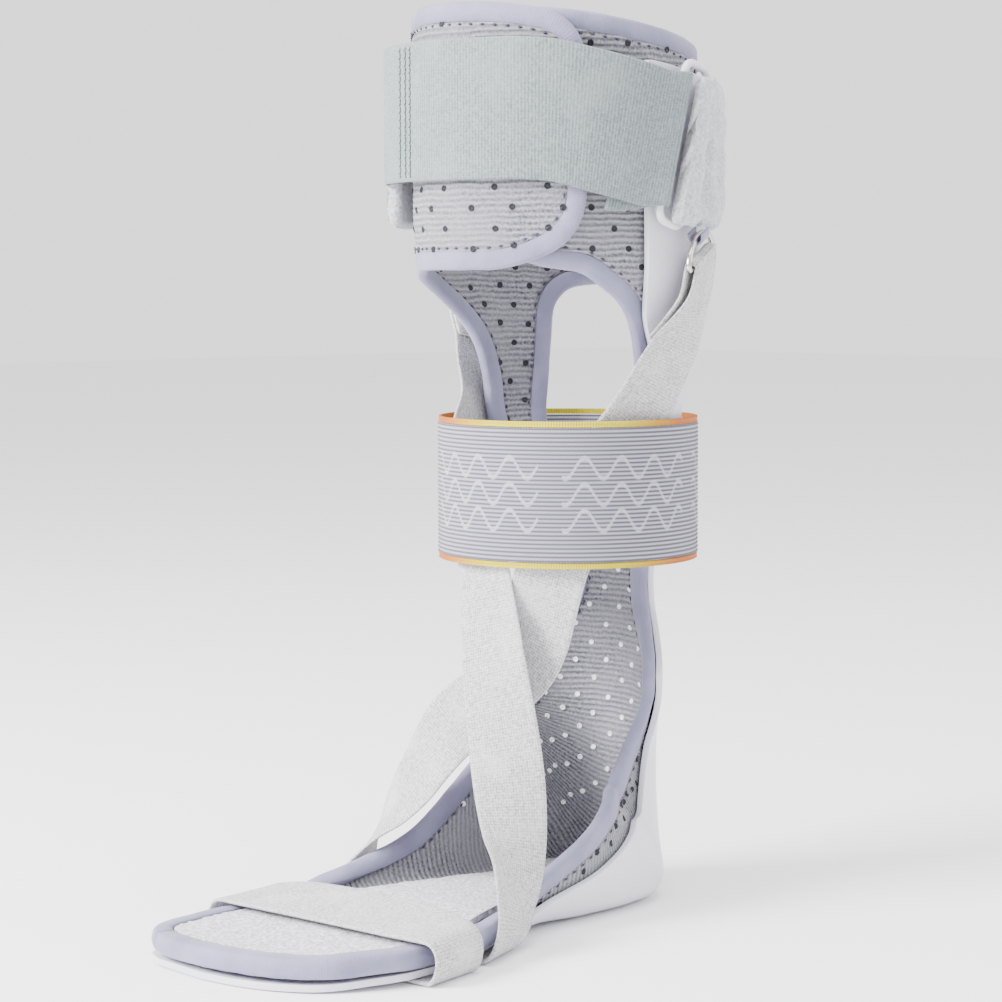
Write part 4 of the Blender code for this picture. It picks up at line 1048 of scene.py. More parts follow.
def strap_section(width, thickness, columns, bead):
    """Half of a strap's outline as (across, out): flat faces, thicker woven edges, round sides."""
    half = thickness / 2
    rim = width / 2 - half
    edge = width / 2 - BEAD_WIDTH
    upper = []
    for step in range(columns + 1):
        across = rim - 2.0 * rim * step / columns
        lift = half + bead * max(0.0, min((abs(across) - edge) / BEAD_RAMP, 1.0))
        upper.append((across, lift))
    left = [(-width / 2, 0.4 * half), (-width / 2, -0.4 * half)]
    right = [(width / 2, -0.4 * half), (width / 2, 0.4 * half)]
    lower = [(-across, -lift) for across, lift in upper]
    return upper + left + lower + right


def skin(mesh, rings, closed):
    """Faces between the rings, and their ends or the join of the last to the first."""
    pairs = list(zip(rings, rings[1:]))
    if closed:
        pairs.append((rings[-1], rings[0]))
    else:
        mesh.faces.new(rings[0][::-1])
        mesh.faces.new(rings[-1])
    for before, after in pairs:
        for index in range(len(before)):
            following = (index + 1) % len(before)
            mesh.faces.new((before[index], before[following], after[following], after[index]))
    bmesh.ops.recalc_face_normals(mesh, faces=mesh.faces)


def sweep(name, frames, section, closed):
    """A body swept along frames of (place, across, out), with lengths as its UV map."""
    mesh = bmesh.new()
    flat = {}
    rings = []
    travelled = 0.0
    for index, (place, across, out) in enumerate(frames):
        if index:
            travelled += (place - frames[index - 1][0]).length
        ring = []
        for sideways, outward in section:
            vert = mesh.verts.new(place + across * sideways + out * outward)
            flat[vert] = (sideways, travelled)
            ring.append(vert)
        rings.append(ring)
    skin(mesh, rings, closed)
    return to_object(name, mesh, flat)


def strap(name, places, sides, width, thickness, parts, columns, bead=0.0, closed=False):
    """A woven strap along a path, with its width laid along the given directions."""
    smooth_places = curve_through(places, parts, closed)
    smooth_sides = [side.normalized() for side in curve_through(sides, parts, closed)]
    frames = []
    count = len(smooth_places)
    for index in range(count):
        if closed:
            ahead = smooth_places[(index + 1) % count] - smooth_places[index - 1]
        else:
            ahead = smooth_places[min(index + 1, count - 1)] - smooth_places[max(index - 1, 0)]
        across = smooth_sides[index]
        frames.append((smooth_places[index], across, ahead.cross(across).normalized()))
    return sweep(name, frames, strap_section(width, thickness, columns, bead), closed)


class Nodes:
    """A short way to write a material's nodes."""

    def __init__(self, name, roughness, metallic=0.0):
        self.material = bpy.data.materials.new(name)
        self.material.use_nodes = True
        self.tree = self.material.node_tree
        self.shader = self.tree.nodes["Principled BSDF"]
        self.shader.inputs["Roughness"].default_value = roughness
        self.shader.inputs["Metallic"].default_value = metallic
        uv = self.tree.nodes.new("ShaderNodeUVMap")
        uv.uv_map = "Flat"
        self.uv = uv.outputs[0]
        parts = self.tree.nodes.new("ShaderNodeSeparateXYZ")
        self.tree.links.new(self.uv, parts.inputs[0])
        self.across = parts.outputs[0]
        self.along = parts.outputs[1]
        self.place = self.tree.nodes.new("ShaderNodeTexCoord").outputs["Object"]

    def put(self, socket, value):
        if isinstance(value, bpy.types.NodeSocket):
            self.tree.links.new(value, socket)
        else:
            socket.default_value = value

    def math(self, operation, *values):
        node = self.tree.nodes.new("ShaderNodeMath")
        node.operation = operation
        for socket, value in zip(node.inputs, values):
            self.put(socket, value)
        return node.outputs[0]

    def ridges(self, value, pitch):
        """From 0 to 1 and back over each pitch."""
        wave = self.math("SINE", self.math("MULTIPLY", value, 2.0 * math.pi / pitch))
        return self.math("MULTIPLY_ADD", wave, 0.5, 0.5)

    def noise(self, size, detail=2.0, vector=None, roughness=0.5):
        node = self.tree.nodes.new("ShaderNodeTexNoise")
        self.put(node.inputs["Vector"], self.place if vector is None else vector)
        node.inputs["Scale"].default_value = 1.0 / size
        node.inputs["Detail"].default_value = detail
        node.inputs["Roughness"].default_value = roughness
        return node.outputs["Fac"]

    def cells(self, size, vector=None):
        node = self.tree.nodes.new("ShaderNodeTexVoronoi")
        self.put(node.inputs["Vector"], self.place if vector is None else vector)
        node.inputs["Scale"].default_value = 1.0 / size
        return node.outputs["Distance"]

    def mix(self, factor, first, second):
        node = self.tree.nodes.new("ShaderNodeMix")
        node.data_type = "RGBA"
        self.put(node.inputs["Factor"], factor)
        for socket, value in ((node.inputs["A"], first), (node.inputs["B"], second)):
            self.put(socket, (*value, 1.0) if isinstance(value, tuple) else value)
        return node.outputs["Result"]

    def between(self, value, low, high):
        node = self.tree.nodes.new("ShaderNodeMapRange")
        self.put(node.inputs["Value"], value)
        node.inputs["From Min"].default_value = low
        node.inputs["From Max"].default_value = high
        return node.outputs["Result"]

    def finish(self, colour, height=None, depth=0.0002, sheen=0.0, soft=0.0):
        value = (*colour, 1.0) if isinstance(colour, tuple) else colour
        self.put(self.shader.inputs["Base Color"], value)
        if sheen:
            self.shader.inputs["Sheen Weight"].default_value = sheen
            self.shader.inputs["Sheen Roughness"].default_value = 0.5
        if soft:
            self.shader.inputs["Subsurface Weight"].default_value = soft
            self.shader.inputs["Subsurface Scale"].default_value = 0.002
        if height is not None:
            bump = self.tree.nodes.new("ShaderNodeBump")
            bump.inputs["Distance"].default_value = depth
            bump.inputs["Strength"].default_value = 1.0
            self.tree.links.new(height, bump.inputs["Height"])
            self.tree.links.new(bump.outputs[0], self.shader.inputs["Normal"])
        return self.material


def plastic_look():
    """Satin lilac-white plastic with a faint orange-peel."""
    look = Nodes("plastic_look", 0.34)
    cloud = look.noise(0.05, 2.0)
    colour = look.mix(cloud, (0.62, 0.61, 0.70), (0.70, 0.69, 0.76))
    height = look.noise(0.004, 2.0)
    return look.finish(colour, height, 0.00006, soft=0.25)


def textile_look():
    """Grey padded knit: light mottled courses between thin dark gaps."""
    look = Nodes("textile_look", 0.92)
    drift = look.noise(0.012, 2.0)
    bent = look.math("MULTIPLY_ADD", drift, 0.0022, look.along)
    course = look.ridges(bent, RIB_PITCH)
    grain = look.noise(0.0010, 3.0, roughness=0.75)
    cloud = look.noise(0.02, 3.0)
    shade = look.math("MULTIPLY_ADD", grain, 0.85, look.math("MULTIPLY", course, 0.20))
    colour = look.mix(look.between(shade, 0.34, 0.72), (0.050, 0.050, 0.066), (0.36, 0.355, 0.40))
    colour = look.mix(look.between(cloud, 0.40, 0.85), colour, (0.25, 0.245, 0.28))
    height = look.math("MULTIPLY_ADD", grain, 0.6, course)
    return look.finish(colour, height, 0.0005, sheen=0.2)


def tape_look():
    """Smooth lilac tape with a fine weave and soft puckers."""
    look = Nodes("tape_look", 0.75)
    weave = look.ridges(look.along, 0.0009)
    grain = look.noise(0.0008, 2.0)
    cloud = look.noise(0.018, 2.0)
    colour = look.mix(cloud, (0.13, 0.125, 0.21), (0.285, 0.28, 0.41))
    pucker = look.noise(0.005, 1.0)
    soft = look.math("MULTIPLY_ADD", weave, 0.12, pucker)
    height = look.math("ADD", soft, look.math("MULTIPLY", grain, 0.2))
    return look.finish(colour, height, 0.0004, sheen=0.2)


def terry_look():
    """White looped pile."""
    look = Nodes("terry_look", 0.95)
    loops = look.cells(0.0016)
    grain = look.noise(0.0009, 3.0)
    shade = look.math("MULTIPLY_ADD", grain, 0.6, look.math("MULTIPLY", loops, 0.5))
    colour = look.mix(look.between(shade, 0.25, 0.75), (0.20, 0.195, 0.23), (0.68, 0.67, 0.72))
    return look.finish(colour, shade, 0.0006, sheen=0.3)


def elastic_look(name, dark, light, rib, rib_depth):
    """Knitted elastic: speckled yarn in fine rows."""
    look = Nodes(name, 0.88)
    rows = look.ridges(look.along, rib)
    wales = look.ridges(look.across, rib * 0.9)
    grain = look.noise(0.0012, 3.0, roughness=0.75)
    cloud = look.noise(0.02, 2.0)
    knit = look.math("MULTIPLY_ADD", wales, 1.0 - rib_depth, look.math("MULTIPLY", rows, rib_depth))
    shade = look.math("MULTIPLY_ADD", knit, 0.2, look.math("MULTIPLY", grain, 0.8))
    colour = look.mix(look.between(shade, 0.34, 0.68), dark, light)
    colour = look.mix(look.between(cloud, 0.5, 1.0), colour, light)
    return look.finish(colour, shade, 0.0004, sheen=0.15)


def fleece_look():
    """Brushed loops, soft at the edges."""
    look = Nodes("fleece_look", 1.0)
    pile = look.cells(0.0013)
    grain = look.noise(0.0012, 4.0, roughness=0.7)
    shade = look.math("MULTIPLY_ADD", grain, 0.7, look.math("MULTIPLY", pile, 0.4))
    colour = look.mix(look.between(shade, 0.25, 0.8), (0.24, 0.24, 0.28), (0.60, 0.60, 0.66))
    return look.finish(colour, shade, 0.0007, sheen=0.5)


def knit_look():
    """Grey ribs with three rows of light zigzags in two groups."""
    look = Nodes("knit_look", 0.9)
    rib = look.ridges(look.along, BAND_RIB_PITCH)
    twill = look.math("ADD", look.across, look.along)
    yarn = look.ridges(twill, 0.0012)
    shade = look.math("MULTIPLY_ADD", yarn, 0.3, look.math("MULTIPLY", rib, 0.7))
    colour = look.mix(look.between(shade, 0.15, 0.75), (0.045, 0.042, 0.070), (0.40, 0.39, 0.45))
    turn = look.math("MULTIPLY", look.across, 2.0 * math.pi / ZIGZAG_LENGTH)
    wave = look.math("MULTIPLY", look.math("SINE", turn), ZIGZAG_HEIGHT / 2)
    line = look.math("SUBTRACT", look.along, wave)
    row = look.math("PINGPONG", look.math("SUBTRACT", line, ZIGZAG_LOW), ZIGZAG_ROW / 2)
    thread = look.between(row, ZIGZAG_THREAD * 1.3, ZIGZAG_THREAD * 0.7)
    above = look.math("GREATER_THAN", line, ZIGZAG_LOW - ZIGZAG_ROW / 4)
    below = look.math("LESS_THAN", line, ZIGZAG_LOW + 2.25 * ZIGZAG_ROW)
    inside = look.math("MULTIPLY", above, below)
    swell = look.ridges(look.math("ADD", look.across, ZIGZAG_SHIFT), ZIGZAG_GROUP)
    group = look.math("GREATER_THAN", swell, ZIGZAG_SPACE)
    mask = look.math("MULTIPLY", thread, look.math("MULTIPLY", inside, group))
    mask = look.math("MULTIPLY", mask, 0.60)
    colour = look.mix(mask, colour, (0.56, 0.55, 0.62))
    height = look.math("MULTIPLY_ADD", yarn, 0.4, look.math("ADD", rib, mask))
    return look.finish(colour, height, 0.0003, sheen=0.2)


def trim_look():
    """Yellow edge, painted lighter yellow where it faces the camera and darker orange towards the sides:
    painted highlight and painted shade over its own yellow.
    """
    look = Nodes("trim_look", 0.7)
    # painted light: lighter yellow at the turn that faces the camera, painted shade turning it orange towards
    # the sides
    turn = look.math("SUBTRACT", look.math("DIVIDE", look.across, BAND_RADIUS), TRIM_HIGHLIGHT_TURN)
    side = look.math("ABSOLUTE", look.math("SINE", turn))
    colour = look.mix(look.between(side, 0.50, 0.88), (0.52, 0.42, 0.0), (0.42, 0.11, 0.003))
    yarn = look.ridges(look.across, 0.0011)
    return look.finish(colour, yarn, 0.0002)


def metal_look():
    look = Nodes("metal_look", 0.16, 1.0)
    colour = look.mix(look.noise(0.01), (0.50, 0.45, 0.40), (0.72, 0.69, 0.66))
    return look.finish(colour, look.noise(0.0008), 0.00001)


def plain_look(name, colour, roughness):
    look = Nodes(name, roughness)
    grain = look.noise(0.0006, 2.0)
    light = tuple(min(part * 1.25, 1.0) for part in colour)
    return look.finish(look.mix(grain, colour, light), grain, 0.0001)


def dress(piece, material, slot_name, *nodes):
    """Give a piece its look, let it ride with the part and stand for its CAD nodes."""
    piece.data.materials.clear()
    piece.data.materials.append(material)
    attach(piece, "root")
    if nodes:
        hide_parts(*nodes)
    return piece


def build_shell(look):
    surface = Surface(0.0, SHELL_WINDOW_SETBACK, False)
    mesh = surface.build()
    outward_side(mesh)
    piece = to_object("shell_moulding", mesh, surface.flat)
    thicken(piece, SHELL_WALL, 1.0 + 2.0 * LINER_GAP / SHELL_WALL, 1, SHELL_ROUNDING)
    dress(piece, look, "plastic", "shell")


def build_liner(look):
    """The padded liner, its courses pressed into both faces; returns its edge loops."""
    inset = BINDING_WIDTH + CLEARANCE
    surface = Surface(inset, inset, True)
    mesh = surface.build()
    outward_side(mesh)
    piece = to_object("liner_textile", mesh, surface.flat)
    smooth = piece.modifiers.new("Smooth", "SUBSURF")
    smooth.levels = 1
    smooth.render_levels = 1
    settle(piece)
    open_mesh = bmesh.new()
    open_mesh.from_mesh(piece.data)
    loops = boundary_loops(open_mesh)
    open_mesh.free()
    thicken(piece, LINER_WALL, -1.0, 0)
    places, _, flat = coordinates(piece)
    course = np.cos(2.0 * math.pi * flat[:, 1] / RIB_PITCH)
    waves = soft_noise(places, LINER_WAVE_SIZE, 3.0)
    push(piece, RIB_DEPTH * 0.5 * course + LINER_WAVE * waves)
    dress(piece, look, "textile", "liner")
    return piece, loops


def boundary_loops(mesh):
    """The open surface's edge loops, longest first, as smooth frames of (place, outward, normal)."""
    mesh.normal_update()
    waiting = {edge for edge in mesh.edges if edge.is_boundary}
    chains = []
    while waiting:
        edge = min(waiting, key=lambda item: item.index)
        waiting.discard(edge)
        start, vert = edge.verts
        chain = [start, vert]
        while vert is not start:
            edge = next(other for other in vert.link_edges if other in waiting)
            waiting.discard(edge)
            vert = edge.other_vert(vert)
            if vert is not start:
                chain.append(vert)
        chains.append(edge_frames(chain))
    return sorted(chains, key=lambda loop: -sum((a[0] - b[0]).length for a, b in zip(loop, loop[1:])))


def edge_frames(chain):
    frames = []
    lean = 0.0
    for index, vert in enumerate(chain):
        along = (chain[(index + 1) % len(chain)].co - chain[index - 1].co).normalized()
        outward = along.cross(vert.normal).normalized()
        for face in vert.link_faces:
            lean += outward.dot(vert.co - face.calc_center_median())
        frames.append((vert.co.copy(), outward, vert.normal.copy()))
    if lean < 0.0:
        frames = [(place, -outward, normal) for place, outward, normal in frames]
    return frames


def even_frames(loop, step, passes):
    """The loop's frames at even steps, with directions averaged along it."""
    count = len(loop)
    marks = [0.0]
    for index in range(count):
        marks.append(marks[-1] + (loop[(index + 1) % count][0] - loop[index][0]).length)
    samples = max(8, round(marks[-1] / step))
    frames = []
    index = 0
    for sample in range(samples):
        mark = marks[-1] * sample / samples
        while marks[index + 1] < mark:
            index += 1
        part = (mark - marks[index]) / max(marks[index + 1] - marks[index], 1e-9)
        first, second = loop[index], loop[(index + 1) % count]
        frames.append([a.lerp(b, part) for a, b in zip(first, second)])
    for _ in range(passes):
        turned = []
        for index in range(samples):
            before, here, after = frames[index - 1], frames[index], frames[(index + 1) % samples]
            outward = (before[1] + here[1] * 2 + after[1]).normalized()
            normal = (before[2] + here[2] * 2 + after[2]).normalized()
            outward = (outward - normal * outward.dot(normal)).normalized()
            turned.append([here[0].lerp((before[0] + after[0]) / 2, 0.25), outward, normal])
        frames = turned
    return frames


def sole_share(place):
    """How far a point of the edge belongs to the sole, where the tape also covers the insole."""
    ahead = (-place.y / FORE_LENGTH - 0.28) / 0.25
    low = (BRACE_HEIGHT * 0.16 - place.z) / (BRACE_HEIGHT * 0.05)
    return min(max(min(ahead, low), 0.0), 1.0)


def tape_section():
    """The folded tape's outline: flat legs on the liner's two faces and a round outer fold."""
    points = [(-1.0, -0.80), (-0.92, -0.98), (0.0, -1.0)]
    for step in range(7):
        turn = math.radians(-75.0 + 25.0 * step)
        points.append((0.45 + 0.55 * math.cos(turn), math.sin(turn)))
    points += [(0.0, 1.0), (-0.92, 0.98), (-1.0, 0.80)]
    return points


def build_bindings(look, thread, loops):
    profile = tape_section()
    half_width = BINDING_WIDTH / 2 + CLEARANCE
    for name, node, loop in zip(("edge_tape", "window_tape"), ("edge_binding", "window_binding"), loops):
        frames = even_frames(loop, TAPE_STEP, TAPE_PASSES)
        mesh = bmesh.new()
        flat = {}
        rings = []
        travelled = 0.0
        seams = []
        for index, (place, outward, normal) in enumerate(frames):
            travelled += (place - frames[index - 1][0]).length
            share = sole_share(place)
            thickness = BINDING_THICKNESS + share * (SOLE_BINDING_THICKNESS - BINDING_THICKNESS)
            wall = LINER_WALL + share * (sole_wall() - LINER_WALL)
            middle = place - normal * (wall / 2 + (thickness - wall) / 4)
            pucker = 1.0 + PUCKER_SHARE * noise.noise(place / PUCKER_SIZE)
            ring = []
            for across, deep in profile:
                point = middle + outward * (half_width * (1.0 + across * pucker))
                point += normal * (deep * thickness / 2 * pucker)
                vert = mesh.verts.new(point)
                flat[vert] = ((across + deep) * half_width, travelled)
                ring.append(vert)
            rings.append(ring)
            seams.append((place, outward, normal, wall))
        skin(mesh, rings, True)
        tape = dress(to_object(name, mesh, flat), look, "tape", node)
        stitch_row(f"{name}_stitches", seams, thread)


def stitch_row(name, seams, thread):
    """A row of short stitches on both faces of the liner, just inside the tape."""
    mesh = bmesh.new()
    travelled = 0.0
    due = 0.0
    for index, (place, outward, normal, wall) in enumerate(seams):
        following = seams[(index + 1) % len(seams)]
        ahead = following[0] - place
        travelled += ahead.length
        if travelled < due:
            continue
        due = travelled + STITCH_PITCH
        seam = place - outward * STITCH_INSET
        add_stitch(mesh, seam + normal * STITCH_RISE, ahead.normalized(), outward, normal)
        if wall < LINER_WALL + CLEARANCE:
            add_stitch(mesh, seam - normal * (wall + STITCH_RISE), ahead.normalized(), outward, -normal)
    dress(to_object(name, mesh), thread, "tape")


def add_stitch(mesh, centre, along, across, out):
    """One stitch: a short spindle sunk half into the cloth."""
    ends = [mesh.verts.new(centre + along * (STITCH_LENGTH / 2 * side)) for side in (-1, 1)]
    ring = []
    for sideways, up in ((1, 0), (0, 1), (-1, 0), (0, -1)):
        ring.append(mesh.verts.new(centre + across * (sideways * STITCH_WIDTH) + out * (up * STITCH_WIDTH)))
    for index in range(4):
        following = (index + 1) % 4
        mesh.faces.new((ring[index], ring[following], ends[1]))
        mesh.faces.new((ring[following], ring[index], ends[0]))


def build_perforations(liner, dark, light):
    """Eyelets on a staggered lattice of the liner's two faces; pale where the shell lies behind, elsewhere
    closed by a near-black disc of painted shade.
    """
    meshes = {"liner_holes_painted_shade": bmesh.new(), "liner_holes_light": bmesh.new()}
    _, _, flat = coordinates(liner)
    nearest = {}
    for face in liner.data.polygons:
        lengths = flat[list(face.vertices)]
        if np.ptp(lengths[:, 0]) < 1e-6 or np.ptp(lengths[:, 1]) < 1e-6:
            continue
        across, along = lengths.mean(axis=0)
        along -= HOLE_RISE
        row = round(along / (HOLE_ROW / 2))
        shift = 0.5 * (row % 2)
        column = round(across / HOLE_COLUMN - shift) + shift
        side = face.normal.dot(away_from_middle(face.center)) > 0.0
        key = (row, column, side)
        miss = math.hypot(across - column * HOLE_COLUMN, along - row * HOLE_ROW / 2)
        if miss < HOLE_MISS and (key not in nearest or miss < nearest[key][0]):
            nearest[key] = (miss, face.center.copy(), face.normal.copy())
    sill = SPINE.mark_at_height(WINDOW_LOW)
    for row, column, side in sorted(nearest):
        _, centre, normal = nearest[row, column, side]
        behind = row * HOLE_ROW / 2 < sill and not side
        on_wing = centre.y < HOLE_FRONT or centre.z < HOLE_FLOOR
        if behind and on_wing and (row % 4 or centre.x < 0.0):
            continue
        if behind and not on_wing:
            add_eyelet(meshes["liner_holes_light"], centre, normal, PALE_HOLE_SHARE)
        else:
            # elsewhere a near-black disc paints the shade inside the hole
            add_eyelet(meshes["liner_holes_painted_shade"], centre, normal, 1.0)
    for name, look in (("liner_holes_painted_shade", dark), ("liner_holes_light", light)):
        dress(to_object(name, meshes[name]), look, "textile")


def away_from_middle(place):
    """Outwards from the leg above the ankle, and from the foot's middle line below it."""
    if place.z > SHANK_LOW:
        return Vector((place.x, place.y - LEG_AXIS_Y, 0.0))
    return Vector((place.x, max(place.y - LEG_AXIS_Y, 0.0), place.z - SHANK_LOW))


def add_eyelet(mesh, centre, normal, share):
    side = normal.orthogonal().normalized()
    other = normal.cross(side)
    rings = []
    for radius, rise in EYELET_RINGS:
        ring = []
        for step in range(EYELET_SIDES):
            turn = 2.0 * math.pi * step / EYELET_SIDES
            spoke = side * math.cos(turn) + other * math.sin(turn)
            ring.append(mesh.verts.new(centre + spoke * (HOLE_RADIUS * radius * share) + normal * rise))
        rings.append(ring)
    for inner, outer in zip(rings[1:], rings):
        for index in range(EYELET_SIDES):
            following = (index + 1) % EYELET_SIDES
            mesh.faces.new((outer[index], outer[following], inner[following], inner[index]))
    # the closing disc carries the hole's colour: painted shade in the dark eyelets
    mesh.faces.new(rings[-1])


def build_insole(look):
    """The terry pad: a low crown with a rounded edge and a looped face."""
    surface = Surface(BINDING_WIDTH + 4 * CLEARANCE, 0.0, True)
    mesh = bmesh.new()
    flat = {}
    grid = []
    for mark in SPINE.marks_up_to(BRACE_HEIGHT / 2):
        station = surface.station(mark)
        if station.y > INSOLE_HEEL_END * HEEL_BACK:
            break
        near, far = surface.edges(station)
        side = station.flat - INSOLE_SIDE_GAP
        row = []
        for step in range(-INSOLE_COLUMNS, INSOLE_COLUMNS + 1):
            share = step / INSOLE_COLUMNS
            length = share * (min(far, side) if share < 0 else min(near, side))
            vert = mesh.verts.new(station.at_length(length))
            flat[vert] = (length, mark)
            row.append(vert)
        grid.append(row)
    for before, after in zip(grid, grid[1:]):
        for column in range(len(before) - 1):
            mesh.faces.new((before[column], before[column + 1], after[column + 1], after[column]))
    outward_side(mesh)
    piece = to_object("insole_terry", mesh, flat)
    lift = sole_wall() - INSOLE_WALL
    thicken(piece, INSOLE_WALL, -1.0 - 2.0 * lift / INSOLE_WALL, 1, INSOLE_ROUNDING)
    places, normals, _ = coordinates(piece)
    pile = soft_noise(places, PILE_SIZE, 5.0) * PILE_DEPTH
    pile += soft_noise(places, PILE_WAVE_SIZE, 1.0) * PILE_WAVE
    push(piece, pile * (normals[:, 2] > 0.0))
    dress(piece, look, "terry", "insole")


def cross_strap_course(side, rows):
    """A cross strap's whole course: return layer, turn round the ring, long run and end."""
    _, bar, _, _ = ring_frame(side)
    fold_places, _ = strap_fold(side)
    outer, outer_normals = joined_path(rows, side, fold_places[-1])
    widths = width_directions(outer, outer_normals, bar)
    apart = (fold_places[-1] - fold_places[0]).length
    inner = []
    for index, share in enumerate(STRAP_RETURN_GAPS, start=1):
        inner.insert(0, outer[index] - outer_normals[index] * (apart * share))
    count = len(inner)
    places = inner + fold_places + outer[1:]
    return places, widths[count:0:-1] + [widths[0]] * len(fold_places) + widths[1:]


def build_cross_straps(look):
    for name, side, rows in (("near", 1, NEAR_STRAP_ROWS), ("far", -1, FAR_STRAP_ROWS)):
        places, sides = cross_strap_course(side, rows)
        piece = strap(f"cross_elastic_{name}", places, sides, STRAP_WIDTH, STRAP_THICKNESS,
                      STRAP_PARTS, STRAP_COLUMNS, STRAP_BEAD)
        dress(piece, look, "elastic", f"cross_strap_{name}")


def build_forefoot_strap(look):
    """The closed loop over the insole, round the edges and under the plate."""
    station = SPINE.at_ahead(FOREFOOT_STRAP_AHEAD)
    low = PLATE_ARCH - CLEARANCE - STRAP_THICKNESS / 2
    high = insole_top() + (SOLE_BINDING_THICKNESS - sole_wall()) / 2
    high += FOREFOOT_EDGE_RISE * WING_HEIGHT + CLEARANCE + STRAP_THICKNESS / 2
    places = []
    sides = []
    for index in range(len(FOREFOOT_LOOP)):
        for part in range(2):
            across, level, swell = smooth_row(FOREFOOT_LOOP, index, part / 2)
            x = across * station.half_width
            y = station.y + FOREFOOT_STRAP_SLOPE * x
            front = Vector((station.shift + x, y, low + level * (high - low)))
            width = Vector((-SOLE_FLARE * max(across, 0.0), 1.0, 0.0)).normalized() * STRAP_WIDTH
            rise = Vector((0.0, 0.0, swell * FOREFOOT_STRAP_SWELL))
            places.append(front + rise / 2)
            sides.append(width + rise)
    piece = strap("forefoot_elastic", places, sides, STRAP_WIDTH, STRAP_THICKNESS,
                  LOOP_PARTS, STRAP_COLUMNS, STRAP_BEAD, True)
    dress(piece, look, "elastic", "forefoot_strap")


def turned_band(name, inner, outer, low, high, rib, look, slot_name, node):
    """A knitted ring round the leg axis with ribs round it."""
    rows = max(6, round((high - low) / (BAND_RIB_PITCH / 5)))
    profile = []
    for step in range(rows + 1):
        height = high - (high - low) * step / rows
        depth = rib * 0.5 * (math.cos(2.0 * math.pi * (height - low) / BAND_RIB_PITCH) - 1.0)
        profile.append((outer + depth, height))
    for step in range(9):
        height = low + (high - low) * step / 8
        profile.append((inner, height))
    mesh = bmesh.new()
    flat = {}
    rings = []
    for turn_step in range(BAND_TURNS):
        turn = 2.0 * math.pi * turn_step / BAND_TURNS - math.pi
        direction = Vector((math.sin(turn), -math.cos(turn), 0.0))
        ring = []
        for radius, height in profile:
            vert = mesh.verts.new(Vector((0.0, LEG_AXIS_Y, height)) + direction * radius)
            flat[vert] = (turn * BAND_RADIUS, height - BAND_LOW)
            ring.append(vert)
        rings.append(ring)
    skin(mesh, rings, True)
    piece = to_object(name, mesh, flat)
    dress(piece, look, slot_name, node)
    return piece


def build_band(knit, yellow):
    inner = BAND_RADIUS - BAND_WALL
    low = BAND_LOW + TRIM_HEIGHT + CLEARANCE
    high = BAND_LOW + BAND_HEIGHT - TRIM_HEIGHT - CLEARANCE
    band = turned_band("ankle_knit", inner, BAND_RADIUS, low, high, BAND_RIB_DEPTH, knit,
                       "knit", "ankle_band")
    outer = BAND_RADIUS - CLEARANCE
    top = BAND_LOW + BAND_HEIGHT
    trim_inner = inner + CLEARANCE
    lower = turned_band("edge_knit_lower", trim_inner, outer, BAND_LOW, low - CLEARANCE, TRIM_RIB_DEPTH,
                        yellow, "yellow_trim", "band_trim_lower")
    upper = turned_band("edge_knit_upper", trim_inner, outer, high + CLEARANCE, top, TRIM_RIB_DEPTH,
                        yellow, "yellow_trim", "band_trim_upper")


def wire(name, points, thickness, look, slot_name, node):
    """A closed round wire through the points."""
    curve = bpy.data.curves.new(name, "CURVE")
    curve.dimensions = "3D"
    curve.bevel_depth = thickness / 2
    curve.bevel_resolution = WIRE_SIDES
    spline = curve.splines.new("POLY")
    spline.points.add(len(points) - 1)
    for point, place in zip(spline.points, points):
        point.co = (*place, 1.0)
    spline.use_cyclic_u = True
    holder = bpy.data.objects.new(name, curve)
    bpy.context.scene.collection.objects.link(holder)
    graph = bpy.context.evaluated_depsgraph_get()
    data = bpy.data.meshes.new_from_object(holder.evaluated_get(graph))
    bpy.data.objects.remove(holder, do_unlink=True)
    data.shade_smooth()
    piece = bpy.data.objects.new(name, data)
    bpy.context.scene.collection.objects.link(piece)
    return dress(piece, look, slot_name, node)


def build_d_rings(metal, tape):
    for name, side in (("near", 1), ("far", -1)):
        centre, along, up, outward = ring_frame(side)
        half = D_RING_WIDTH / 2
        points = [centre + along * (half * share) for share in (-0.96, -0.6, -0.2, 0.2, 0.6, 0.96)]
        for step in range(1, D_RING_ARC_STEPS):
            turn = math.pi * step / D_RING_ARC_STEPS
            reach = half * math.cos(turn)
            points.append(centre + along * reach + up * (D_RING_HEIGHT * math.sin(turn)))
        wire(f"steel_ring_{name}", points, D_RING_WIRE, metal, "metal", f"d_ring_{name}")
        top = centre + up * D_RING_HEIGHT
        radius = D_RING_WIRE / 2 + 3 * CLEARANCE + TAB_THICKNESS / 2
        rise = PAD_HEIGHT - PAD_WIDTH / 2 - CLEARANCE - TAB_WIDTH / 2 * abs(along.z) - top.z
        seat = top + up * (rise / up.z)
        places = [seat - outward * radius]
        for step in range(FOLD_STEPS + 1):
            turn = math.pi * step / FOLD_STEPS
            direction = outward * -math.cos(turn) - up * math.sin(turn)
            places.append(top + direction * radius)
        places.append(seat + outward * radius)
        loop = strap(f"ring_loop_{name}", places, [along] * len(places), TAB_WIDTH, TAB_THICKNESS,
                     LOOP_PARTS, LOOP_COLUMNS)
        dress(loop, tape, "tape", f"ring_tab_{name}")


